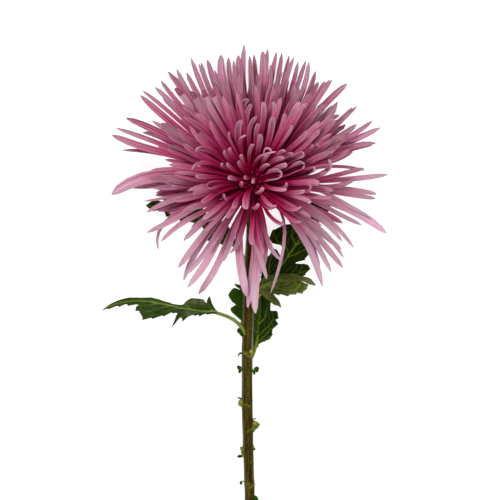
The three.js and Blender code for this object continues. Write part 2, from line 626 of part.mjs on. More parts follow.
function blade({ rib, fold, rows }) {
  const line = bezier(rib);
  const places = [];
  const halves = [];
  const last = rows.length - 1;
  rows.forEach(([t, left, right], k) => {
    const middle = line.getPoint(t);
    if (k === last) {
      places.push(middle);
      halves.push(0.5 * BLADE_EDGE);
      return;
    }
    for (const [side, forward] of [[left, fold[0]], [null, 0], [right, fold[1]]]) {
      const p = side ? V(side[0], side[1], middle.z) : middle.clone();
      p.z += forward * Math.hypot(p.x - middle.x, p.y - middle.y);
      places.push(keepAbove(p, 0.9));
      halves.push(0.5 * (side ? BLADE_EDGE : mix(BLADE_RIB, BLADE_EDGE, t)));
    }
  });
  const faces = [];
  for (let k = 0; k < last - 1; k++)
    for (const s of [0, 1]) {
      const a = k * 3 + s;
      faces.push(a, a + 1, a + 4, a, a + 4, a + 3);
    }
  const tip = last * 3;
  faces.push(tip - 3, tip - 2, tip, tip - 2, tip - 1, tip);
  const middle = new THREE.BufferGeometry().setFromPoints(places).setIndex(faces);
  middle.computeVertexNormals();
  const normals = middle.getAttribute("normal");
  const count = places.length;
  const offset = (way) =>
    places.map((p, k) => p.clone().addScaledVector(V(normals.getX(k), normals.getY(k), normals.getZ(k)), way * halves[k]));
  const points = [...offset(1), ...offset(-1)];
  const edge = [];
  for (let k = 0; k < last; k++) edge.push(k * 3 + 2);
  edge.push(tip);
  for (let k = last - 1; k >= 0; k--) edge.push(k * 3);
  edge.push(1);
  const index = [...faces];
  for (let k = 0; k < faces.length; k += 3) index.push(faces[k + 2] + count, faces[k + 1] + count, faces[k] + count);
  edge.forEach((a, k) => {
    const b = edge[(k + 1) % edge.length];
    index.push(b, a, a + count, b, a + count, b + count);
  });
  return solid(new THREE.BufferGeometry().setFromPoints(points).setIndex(index));
}

function stalkOf({ stalk }) {
  const line = bezier(stalk);
  const rings = [];
  for (let k = 0; k <= STALK_STEPS; k++) {
    const t = k / STALK_STEPS;
    const along = line.getTangent(t);
    const side = along.clone().cross(V(0, 0, 1)).normalize();
    const r = mix(1.3, 0.65, t);
    rings.push(ringAt(line.getPoint(t), side, along.clone().cross(side), r, 0.8 * r, STALK_SIDES));
  }
  return solid(skin(rings));
}

const leaf = (plan) => blade(plan).add(stalkOf(plan));

// ---- Build ----
const flower = new THREE.Group();
const ground = belowSurface();
const clearOfStem = stem(GAP);
flower.add(meshOf("bloom", oneBody(bloom().subtract(ground)), petalPink));
flower.add(meshOf("involucre", oneBody(involucre()), bractGreen));
flower.add(meshOf("stem", oneBody(stem().subtract(ground)), stemBrown));
for (const [name, plan] of Object.entries(LEAVES))
  flower.add(meshOf(name, oneBody(leaf(plan).subtract(clearOfStem).subtract(ground)), leafGreen));

flower.rotation.x = radians(REST_PITCH);
flower.position.set(-FOOTPRINT[0], -FOOTPRINT[1], LIFT);

const whole = new THREE.Group();
whole.add(flower);
export default whole;
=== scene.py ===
# %% [markdown]
# # A spider chrysanthemum, cut and laid down
#
# A cut spider chrysanthemum lies on its back on a pale table. About three hundred and fifty thin florets
# stand out of one receptacle, a green cup of bracts holds it, and a bare stem with torn-off leaf bases
# and five lobed leaves runs down from there. The CAD model has the same pieces as plain faceted solids.
# Each step below makes one of them again with a finer shape and a real surface, in the same place.

# %% Load the frame
import json
import math
from collections import defaultdict

import bpy
import numpy as np
from mathutils import Matrix, Vector

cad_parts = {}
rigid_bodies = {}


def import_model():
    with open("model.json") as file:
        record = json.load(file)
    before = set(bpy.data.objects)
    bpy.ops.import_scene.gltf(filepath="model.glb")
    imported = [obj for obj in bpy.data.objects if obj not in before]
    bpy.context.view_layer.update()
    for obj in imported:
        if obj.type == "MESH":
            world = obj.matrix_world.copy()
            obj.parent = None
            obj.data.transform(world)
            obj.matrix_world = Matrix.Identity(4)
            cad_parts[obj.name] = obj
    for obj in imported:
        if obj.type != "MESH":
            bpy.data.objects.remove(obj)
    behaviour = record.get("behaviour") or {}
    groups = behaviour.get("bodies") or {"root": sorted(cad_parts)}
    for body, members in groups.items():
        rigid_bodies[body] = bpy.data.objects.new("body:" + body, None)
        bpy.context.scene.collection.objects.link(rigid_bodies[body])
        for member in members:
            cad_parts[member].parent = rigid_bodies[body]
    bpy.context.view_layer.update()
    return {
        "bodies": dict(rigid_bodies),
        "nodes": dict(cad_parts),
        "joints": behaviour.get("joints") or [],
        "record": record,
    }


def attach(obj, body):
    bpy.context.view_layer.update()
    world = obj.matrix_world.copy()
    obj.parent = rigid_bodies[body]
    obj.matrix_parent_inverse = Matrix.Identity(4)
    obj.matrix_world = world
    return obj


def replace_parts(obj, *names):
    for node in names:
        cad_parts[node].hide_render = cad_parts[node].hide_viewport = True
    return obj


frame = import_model()
print("CAD nodes:", sorted(frame["nodes"]))

# %% [markdown]
# ## Where things are
#
# The flower is easiest to describe face on: X to the right, Y up the stem towards the crown of the bloom,
# Z out of the bloom, with the origin at its heart, in millimetres. Laying it down is then one turn and
# one shift. Writing every piece straight in table coordinates would also work, but each of them would
# have to carry the slope of the stem in its numbers.

# %% Face-on millimetres to metres on the table
MM = 0.001
REST_PITCH = math.radians(3)  # slope of the stem up to the bloom as the flower lies
LIFT = 25.6  # height of the heart above the table
FOOTPRINT = (-5.2, -48.9)  # middle of the whole flower's footprint, from the heart
LIFT_SOFTNESS = 0.25  # how softly what would sink into the table is lifted, in square millimetres

LAID = (
    Matrix.Scale(MM, 4)
    @ Matrix.Translation((-FOOTPRINT[0], -FOOTPRINT[1], LIFT))
    @ Matrix.Rotation(REST_PITCH, 4, "X")
)


def lifted(y, z, clearance):
    """Heights, face on, lifted smoothly clear of the table; y and z are numbers or rows of them."""
    low = -(LIFT + y * math.sin(REST_PITCH)) / math.cos(REST_PITCH) + clearance
    d = z - low
    return low + 0.5 * (d + np.sqrt(d * d + LIFT_SOFTNESS))


print("the heart lies at", [round(x, 4) for x in LAID @ Vector((0, 0, 0))])

# %% [markdown]
# ## Camera, table and light
#
# A flower this flat is seen best from straight above its face. A long lens from well back keeps the
# florets that point at the camera from looking too large, as a short lens close up would make them. Soft
# light from a white room shows every floret without a hard shadow. A large lamp at the upper left and a
# weaker one across from it give the quills a lighter and a darker side.

# %% Camera
VIEW_WIDTH = 250.0  # width of what is seen at the level of the heart
VIEW_CENTRE = (-2.0, -33.0)  # middle of the picture, from the heart
CAMERA_DISTANCE = 2500.0
SENSOR = 36.0


def show(name, data):
    """Adds an object to the scene."""
    made = bpy.data.objects.new(name, data)
    bpy.context.scene.collection.objects.link(made)
    return made


lens = bpy.data.cameras.new("flower_camera")
lens.sensor_width = SENSOR
lens.lens = SENSOR * CAMERA_DISTANCE / VIEW_WIDTH
camera = show("flower_camera", lens)
camera.location = LAID @ Vector((*VIEW_CENTRE, CAMERA_DISTANCE))
camera.rotation_euler = (REST_PITCH, 0, 0)
bpy.context.scene.camera = camera
print("lens of", round(lens.lens), "mm from", round(camera.location.z, 2), "m up")

# %% [markdown]
# Every node tree below, for a shape or for a surface, is written with the same small helpers. One adds a
# node and plugs values or sockets into its inputs, and the others are short words for the nodes that come
# up again and again. Clicking the nodes together by hand gives the same trees, but a script can't be
# clicked.

# %% Helpers for node trees
def plug(tree, value, socket):
    """Links a socket, or sets a plain value."""
    if isinstance(value, bpy.types.NodeSocket):
        tree.links.new(value, socket)
    else:
        socket.default_value = value


def place(tree, kind, wires=None, **settings):
    """Adds a node with its settings, then plugs its inputs by name or by number."""
    node = tree.nodes.new(kind)
    for key, value in settings.items():
        setattr(node, key, value)
    for key, value in (wires or {}).items():
        plug(tree, value, node.inputs[key])
    column, row = divmod(len(tree.nodes), 8)
    node.location = (column * 220, -row * 180)
    return node


def result(tree, kind, wires=None, **settings):
    """Adds a node; returns its first output."""
    return place(tree, kind, wires, **settings).outputs[0]


# %% Short words for common nodes
def calc(tree, operation, *terms):
    """The result of one Math node."""
    return result(tree, "ShaderNodeMath", dict(enumerate(terms)), operation=operation)


def times(tree, *factors):
    """The product of some values."""
    product = factors[0]
    for factor in factors[1:]:
        product = calc(tree, "MULTIPLY", product, factor)
    return product


def vector(tree, x, y, z=0.0):
    """A vector from its three parts."""
    return result(tree, "ShaderNodeCombineXYZ", {0: x, 1: y, 2: z})


def parts_of(tree, spot):
    """The three parts of a vector."""
    return place(tree, "ShaderNodeSeparateXYZ", {0: spot}).outputs


def noise(tree, spot, scale, detail):
    """Cloudy noise at a place."""
    return result(tree, "ShaderNodeTexNoise", {"Vector": spot, "Scale": scale, "Detail": detail})


def blend(tree, share, first, second):
    """A value between two others."""
    return result(tree, "ShaderNodeMix", {0: share, 2: first, 3: second})


def ramp_from(tree, value, low, high, to_low=0.0, to_high=1.0):
    """Smooth step of a value from one range to another."""
    wires = {0: value, 1: low, 2: high, 3: to_low, 4: to_high}
    return result(tree, "ShaderNodeMapRange", wires, interpolation_type="SMOOTHSTEP")


def on_object(tree):
    """The place on the object itself."""
    return place(tree, "ShaderNodeTexCoord").outputs["Object"]


def emboss(tree, shader, strength, distance, height, **settings):
    """Small relief from a height."""
    wires = {"Strength": strength, "Distance": distance, "Height": height}
    plug(tree, result(tree, "ShaderNodeBump", wires, **settings), shader.inputs["Normal"])


# %% Table and light
def material(name, values):
    """A new material, its node tree and its Principled shader with some inputs set."""
    made = bpy.data.materials.new(name)
    made.use_nodes = True
    shader = made.node_tree.nodes["Principled BSDF"]
    for key, value in values.items():
        shader.inputs[key].default_value = value
    return made, made.node_tree, shader


TABLE_HALF = 3.0
TABLE_GREY = 0.35
TABLE_GLOW = 0.82  # light of its own, which keeps the table pale under soft lamps
ROOM_LIGHT = 0.52
WHITE = (1, 1, 1, 1)
white_table, _, _ = material("white_table", {
    "Base Color": (TABLE_GREY, TABLE_GREY, TABLE_GREY, 1), "Roughness": 0.9, "Specular IOR Level": 0.1,
    "Emission Color": WHITE, "Emission Strength": TABLE_GLOW})

corners = [(x * TABLE_HALF, y * TABLE_HALF, 0) for x, y in ((-1, -1), (1, -1), (1, 1), (-1, 1))]
table_mesh = bpy.data.meshes.new("table")
table_mesh.from_pydata(corners, [], [(0, 1, 2, 3)])
table_mesh.materials.append(white_table)
table = show("table", table_mesh)

room = bpy.data.worlds.new("white_room")
room.use_nodes = True
walls = room.node_tree.nodes["Background"]
walls.inputs["Color"].default_value = WHITE
walls.inputs["Strength"].default_value = ROOM_LIGHT
bpy.context.scene.world = room
bpy.context.scene.view_settings.view_transform = "Standard"

LAMPS_LOOK_AT = LAID @ Vector((0, -20, 0))
# Name, direction from there, distance and size in metres, and power in watts.
LAMPS = [
    ("key_lamp", (-0.55, 0.65, 1.0), 2.0, 0.6, 28),
    ("fill_lamp", (0.8, -0.4, 0.9), 2.0, 1.0, 14),
]


def soft_lamp(name, direction, distance, size, power):
    """A square lamp that looks at the bloom from a direction."""
    light = bpy.data.lights.new(name, "AREA")
    light.size = size
    light.energy = power
    lamp = show(name, light)
    towards = Vector(direction).normalized()
    lamp.location = LAMPS_LOOK_AT + towards * distance
    lamp.rotation_euler = towards.to_track_quat("Z", "Y").to_euler()


for lamp in LAMPS:
    soft_lamp(*lamp)
print("table", 2 * TABLE_HALF, "m wide,", len(LAMPS), "lamps")

# %% [markdown]
# ## Chance that repeats
#
# No two florets are alike, yet the flower must come out the same each time. A short formula turns the
# number of a floret and the kind of draw into a fraction from 0 to 1. A seeded random generator would do
# too, but then adding one draw early on would change every floret after it.

# %% Repeatable draws
# The kinds of draw.
CLOCK, REACH, HEIGHT, SWING, WIDTH, ROLL, BEND, TURNED = range(1, 9)
FACE_ROLL, RIM_ROLL = 16, 26
HOOK, DEPTH, OPENING, BLUNTNESS, SHADE, WAVE = range(41, 47)


def chance(i, kind):
    """A fraction from 0 to 1 for a floret's number and a kind of draw."""
    v = math.sin(i * 12.9898 + kind * 78.233) * 43758.5453
    return v - math.floor(v)


def spread(i, kind, size):
    """A draw from -size to size."""
    return (chance(i, kind) - 0.5) * 2 * size


def mix(a, b, share):
    """A number between two others."""
    return a + (b - a) * share


def clamp(x):
    """A number held between 0 and 1."""
    return min(1.0, max(0.0, x))


print("first draws:", [round(chance(i, CLOCK), 3) for i in range(4)])

# %% [markdown]
# ## The head
#
# All florets spring from one small dome, the receptacle. The bloom's axis leans towards its crown, so the
# florets below the heart hang towards the viewer. A direction is given the way a gardener would point: how
# far it leans from the axis, and its place on a clock round it.

# %% Directions round the bloom's axis
HEAD_TILT = math.radians(18)
AXIS = Vector((0, math.sin(HEAD_TILT), math.cos(HEAD_TILT)))
HEAD_RIGHT = Vector((1, 0, 0))
HEAD_UP = AXIS.cross(HEAD_RIGHT)


def outward(clock):
    """The direction straight out from the axis at a place on the clock."""
    turn = math.radians(clock)
    return HEAD_RIGHT * math.cos(turn) + HEAD_UP * math.sin(turn)


def head_direction(lean, clock):
    """The direction that leans from the axis towards a place on the clock."""
    tip = math.radians(lean)
    return outward(clock) * math.sin(tip) + AXIS * math.cos(tip)


print("the bloom's axis points to", [round(x, 3) for x in AXIS])

# %% [markdown]
# ## Where the florets stand
#
# New florets form at the middle of the head, each a golden angle on from the last, which is why daisies
# and their kin show spirals. The rule below places them in that order: the young ones at the eye are
# short and curl in, the old ones are long and nearly straight. The long florets of the rim make the
# outline, and droop each in its own way, so those are given one by one.

# %% The spiral of the head
FLORETS = 208
GOLDEN_ANGLE = 137.508
ROOT_DEPTH = 5.0  # where florets start, from the heart
FACE_PLACES = 56  # places at the middle of the spiral that the florets of the face take
SPIRAL_START = 33.0  # how far the first floret after those reaches from the axis
SPIRAL_REACH = 58.0  # the same for the last floret of the spiral
OPEN_BELOW = -0.25  # below this share of the way up, only one floret in four of the spiral has grown
# Parts of the clock, from and to, where no floret of the head ends further out than the third number
OPEN_PARTS = [(-125, -50, 0), (-18, 17, 40), (158, 172, 42)]
QUILL_HALF_WIDTH = 1.35
DOME_TOP = 25.0  # the dome of tips: its height in front of the head's plane, and where it is highest
DOME_TOP_AT = 28.0
DOME_EYE = 12.0
DOME_RIM = 3.0
TURNED_SHARE = 0.15  # how many florets show their edge instead of their face
TURNED_BY = 45  # degrees
# A floret's number gives it its draws. These are the first numbers of the florets between two places of
# the spiral, of the rim, behind the rim, of the face, with a mouth, and of the eye.
FIRST_BETWEEN, FIRST_RIM, FIRST_BACKING = 500, 1000, 2000
FIRST_FACE, FIRST_MOUTH, FIRST_EYE = 3000, 3500, 4000


def dome(reach):
    """Height of a tip in front of the head's plane, for its distance from the axis."""
    if reach < DOME_TOP_AT:
        return DOME_TOP - (DOME_TOP - DOME_EYE) * (1 - reach / DOME_TOP_AT) ** 2
    return DOME_TOP - (DOME_TOP - DOME_RIM) * ((reach - DOME_TOP_AT) / (SPIRAL_REACH - DOME_TOP_AT)) ** 2


def spiral_floret(i, number):
    """The floret at place i of the spiral; between two whole places there is room for one more."""
    age = (i + 0.5) / FLORETS
    clock = i * GOLDEN_ANGLE + spread(number, CLOCK, 4)
    crownward = math.sin(math.radians(clock))
    grown = math.sqrt((i - FACE_PLACES) / (FLORETS - FACE_PLACES))
    reach = mix(SPIRAL_START, SPIRAL_REACH, grown)
    reach *= (0.86 + 0.14 * crownward) * (1 + spread(number, REACH, 0.08))
    height = dome(reach) + spread(number, HEIGHT, 3)
    lean = math.degrees(math.atan2(reach, height))
    length = math.hypot(reach, height)
    return {
        "root": head_direction(lean * 0.9, clock) * ROOT_DEPTH,
        "bow": head_direction(lean + 8, clock) * length * 0.55,
        "tip": outward(clock + spread(number, SWING, 7)) * reach + AXIS * height,
        "half_width": QUILL_HALF_WIDTH * (1 + spread(number, WIDTH, 0.25)),
        "roll": spread(number, ROLL, 35) + (TURNED_BY if chance(number, TURNED) < TURNED_SHARE else 0),
        "age": age,
        "number": number,
        # Paler below the heart and a little darker above it: partly the florets' own colour, partly painted
        # light on the lower side that the lamps leave in shade.
        "pale": 0.4 * max(0.0, -crownward) - 0.1 * max(0.0, crownward),
        "bend": spread(number, BEND, 0.04),
        "crownward": crownward,
    }


print("tips of the dome at", [round(dome(reach), 1) for reach in (0, DOME_TOP_AT, SPIRAL_REACH)], "mm")

# %% Behind the spiral and in the eye
BACKING = 50
BACKING_FROM = -22.0  # the part of the clock that the backing florets take
BACKING_TO = 202.0
BACKING_REACH = 49
BACKING_HEIGHT = -6  # of their tips, in front of the head's plane
EYE_FLORETS = 28
EYE_SPACING = 1.3
EYE_HEIGHT = 8.0
EYE_HALF_WIDTH = 0.65


def backing_floret(i):
    """One of the outermost florets, which stand behind all others and close the gaps between them."""
    number = FIRST_BACKING + i
    clock = BACKING_FROM + (BACKING_TO - BACKING_FROM) * (i + chance(number, CLOCK)) / BACKING
    crownward = math.sin(math.radians(clock))
    reach = (BACKING_REACH + 8 * crownward) * (1 + spread(number, REACH, 0.08))
    height = BACKING_HEIGHT + spread(number, HEIGHT, 3)
    return {
        "root": head_direction(80, clock) * ROOT_DEPTH,
        "bow": outward(clock) * reach * 0.5 - AXIS * 2,
        "tip": outward(clock + spread(number, SWING, 3)) * reach + AXIS * height,
        "half_width": QUILL_HALF_WIDTH * 1.15,
        "roll": spread(number, ROLL, 25),
        "age": 1.0,
        "number": number,
        "pale": 0.0,
        "bend": spread(number, BEND, 0.03),
        # A darker crimson: painted shade of the florets that lie behind all others.
        "ripe": 0.85,
    }


def eye_floret(i):
    """One of the youngest, short ones that fill the eye. They are kept dark: partly their young colour,
    partly painted shade of the eye's hollow.
    """
    number = FIRST_EYE + i
    clock = i * GOLDEN_ANGLE
    reach = 0.6 + EYE_SPACING * math.sqrt(i)
    height = EYE_HEIGHT + 0.3 * reach + spread(number, HEIGHT, 0.8)
    return {
        "root": outward(clock) * reach * 0.5 + AXIS * 4,
        "bow": outward(clock) * reach * 0.9 + AXIS * height * 0.7,
        "tip": outward(clock + spread(number, SWING, 8)) * reach + AXIS * height,
        "half_width": EYE_HALF_WIDTH + spread(number, WIDTH, 0.1),
        "roll": 0,
        "age": 0.0,
        "number": number,
        # Kept in the dark part of the colour ramp: painted shade of the eye's hollow.
        "pale": -0.4,
        "bend": 0.0,
        "ripe": 0.4,
    }


print(BACKING, "places behind the spiral,", EYE_FLORETS, "florets in the eye")

# %% The florets of the face
# The florets that stand round the eye and in front of the rest. Right and up of the tip and of the middle,
# both from the heart, the half width, and how deeply the end is cupped: 0 is a finger, 1 a spoon.
FACE = [
    (-4.8, 2.9, -3.3, 2.8, 1.1, 0),
    (-5.6, 0.7, -6.2, -1.0, 1.1, 0),
    (-0.7, 0.1, -0.2, 2.5, 0.9, 0),
    (10.9, 15.9, 1.5, 11.8, 1.3, 0.2),
    (-6.4, 14.3, -5.3, 10.5, 1.0, 0),
    (-7.9, 10.9, -6.0, 7.8, 1.15, 0),
    (-4.1, 23.8, -6.6, 18.5, 1.3, 0),
    (-0.4, 19.5, -2.4, 14.5, 1.2, 0),
    (3.2, 24.6, 2.3, 17.0, 1.4, 0.2),
    (-14.6, 16.1, -12.3, 12.0, 1.1, 0),
    (-11.9, 17.4, -10.3, 13.3, 1.1, 0),
    (-12.3, 25.8, -9.8, 17.5, 0.7, 0),
    (-15.6, 9.6, -14.0, 7.8, 1.0, 0),
    (-13.6, 9.6, -10.3, 7.0, 1.2, 0),
    (-12.8, 2.3, -9.0, 2.3, 1.3, 0.2),
    (-31.0, 6.6, -21.8, 10.1, 1.1, 0),
    (-29.4, 16.2, -20.0, 15.3, 1.3, 0.3),
    (-28.9, 24.3, -20.5, 17.5, 1.2, 0.4),
    (-26.9, 25.1, -20.0, 20.0, 1.0, 0),
    (-24.0, -1.9, -17.5, 0.0, 1.7, 0.7),
    (-29.2, 3.5, -20.5, 3.3, 1.2, 0.3),
    (-25.9, -9.6, -18.5, -4.8, 1.3, 0),
    (-14.9, -5.2, -12.3, -7.3, 1.0, 0),
    (-10.5, -12.6, -8.0, -7.5, 1.2, 0.2),
    (-4.4, -12.8, -3.5, -6.0, 1.8, 0.1),
    (2.4, -9.9, -0.5, -11.8, 1.0, 0),
    (4.7, -1.9, 1.7, -4.7, 1.1, 0),
    (16.1, -3.2, 8.8, -2.3, 1.3, 0),
    (16.0, 0.4, 13.5, -2.0, 0.6, 0),
    (15.3, 4.4, 7.5, 3.4, 2.9, 1),
    (26.2, 9.0, 18.5, 6.3, 2.4, 1),
    (30.3, 7.4, 24.5, 4.5, 1.6, 0.8),
    (37.2, 12.2, 32.3, 4.5, 1.2, 0.4),
    (7.6, 9.4, 3.8, 7.5, 1.1, 0),
    (16.4, 9.3, 10.5, 7.5, 1.3, 0),
    (14.8, 12.8, 8.5, 10.8, 1.4, 0),
    (15.5, 15.8, 11.0, 13.5, 1.0, 0),
    (19.4, 14.8, 13.5, 12.0, 1.1, 0.2),
    (25.2, 14.8, 18.5, 11.8, 1.7, 0.5),
    (27.5, 0.2, 24.0, -4.0, 0.9, 0),
    (25.2, -4.0, 17.5, -4.5, 1.3, 0.2),
    (23.5, -11.4, 15.5, -11.8, 1.1, 0),
    (11.0, -10.7, 6.0, -11.3, 1.0, 0),
    (14.8, -20.3, 8.3, -16.6, 1.2, 0.3),
    (23.4, -19.2, 15.0, -15.0, 1.1, 0),
    (31.0, 19.5, 27.5, 14.5, 1.0, 0),
    (29.3, 18.9, 21.5, 14.8, 1.1, 0),
    (39.0, 14.0, 29.0, 11.5, 1.2, 0.2),
    (-6.6, 32.0, -7.8, 21.5, 1.7, 0.4),
    (-1.3, 39.8, -4.3, 29.0, 1.3, 0.2),
    (-2.8, 42.6, -5.8, 31.0, 1.5, 0.4),
    (1.3, 33.5, -2.5, 23.0, 1.3, 0.2),
    (2.3, 29.7, 0.8, 21.5, 1.2, 0),
    (9.4, 33.5, 7.5, 22.0, 1.6, 0.4),
    (9.5, 41.0, 8.5, 28.5, 1.2, 0.2),
    (4.7, 41.0, 4.0, 28.0, 1.4, 0.3),
    (18.8, 29.1, 14.0, 20.5, 0.9, 0),
    (23.0, 41.0, 15.5, 27.0, 1.2, 0.2),
    (26.7, 26.2, 18.0, 17.5, 1.1, 0.2),
    (33.0, 37.5, 22.0, 24.0, 1.1, 0.2),
    (40.2, 32.7, 29.0, 22.0, 1.2, 0.2),
    (43.5, 22.7, 32.0, 17.0, 1.2, 0.2),
    (32.7, 26.9, 23.0, 19.0, 1.2, 0.2),
    (4.6, -35.4, 0.7, -22.0, 1.4, 0.3),
    (-1.1, -30.6, -0.7, -19.5, 1.2, 0),
    (9.2, -11.6, 4.6, -7.0, 1.1, 0),
]

# Florets whose tube opens short of the tip, so that its inside, painted dark with shade, shows on the
# lip: right and up of the tip and of the middle, and the half width.
MOUTHS = [
    (-39.6, 47.6, -25.5, 28.0, 1.7),
    (-32.1, 45.4, -19.5, 27.5, 1.7),
    (-25.8, 46.4, -16.0, 28.0, 1.6),
    (-21.0, 46.0, -12.5, 29.5, 1.4),
]
print(len(FACE), "florets in the face and", len(MOUTHS), "with a mouth")

# %% From a row to a floret
def through(middle, tip):
    """Where a floret starts, and the bow that takes its line through a middle to its tip."""
    root = middle.normalized() * ROOT_DEPTH
    return root, middle * 2 - root * 0.5 - tip * 0.5


def face_floret(row, i):
    """A floret of the face from its row."""
    right, up, mid_right, mid_up, half_width, cup = row
    slope = math.tan(HEAD_TILT)
    reach = math.hypot(right, up)
    height = dome(reach)
    middle = Vector((mid_right, mid_up, height * 0.52 + 2 - mid_up * slope))
    tip = Vector((right, up, height - up * slope))
    root, bow = through(middle, tip)
    return {
        "root": root,
        "bow": bow,
        "tip": tip,
        "half_width": half_width,
        "roll": spread(i, FACE_ROLL, 12),
        "age": (reach / SPIRAL_REACH) ** 2,
        "number": FIRST_FACE + i,
        "pale": 0.12 + 0.15 * (right + up) / max(reach, 1.0) + 0.2 * cup,
        "bend": 0.0,
        "cup": cup,
        "hook": 0.0,
    }


def mouth_floret(row, i):
    """A floret with a mouth from its row; it stands a little further forward."""
    plan = face_floret((*row, 0.0), i)
    plan["bow"] += AXIS * 2
    plan["tip"] += AXIS * 3
    plan.update(number=FIRST_MOUTH + i, mouth=1.0, roll=0.0, pale=0.6)
    return plan


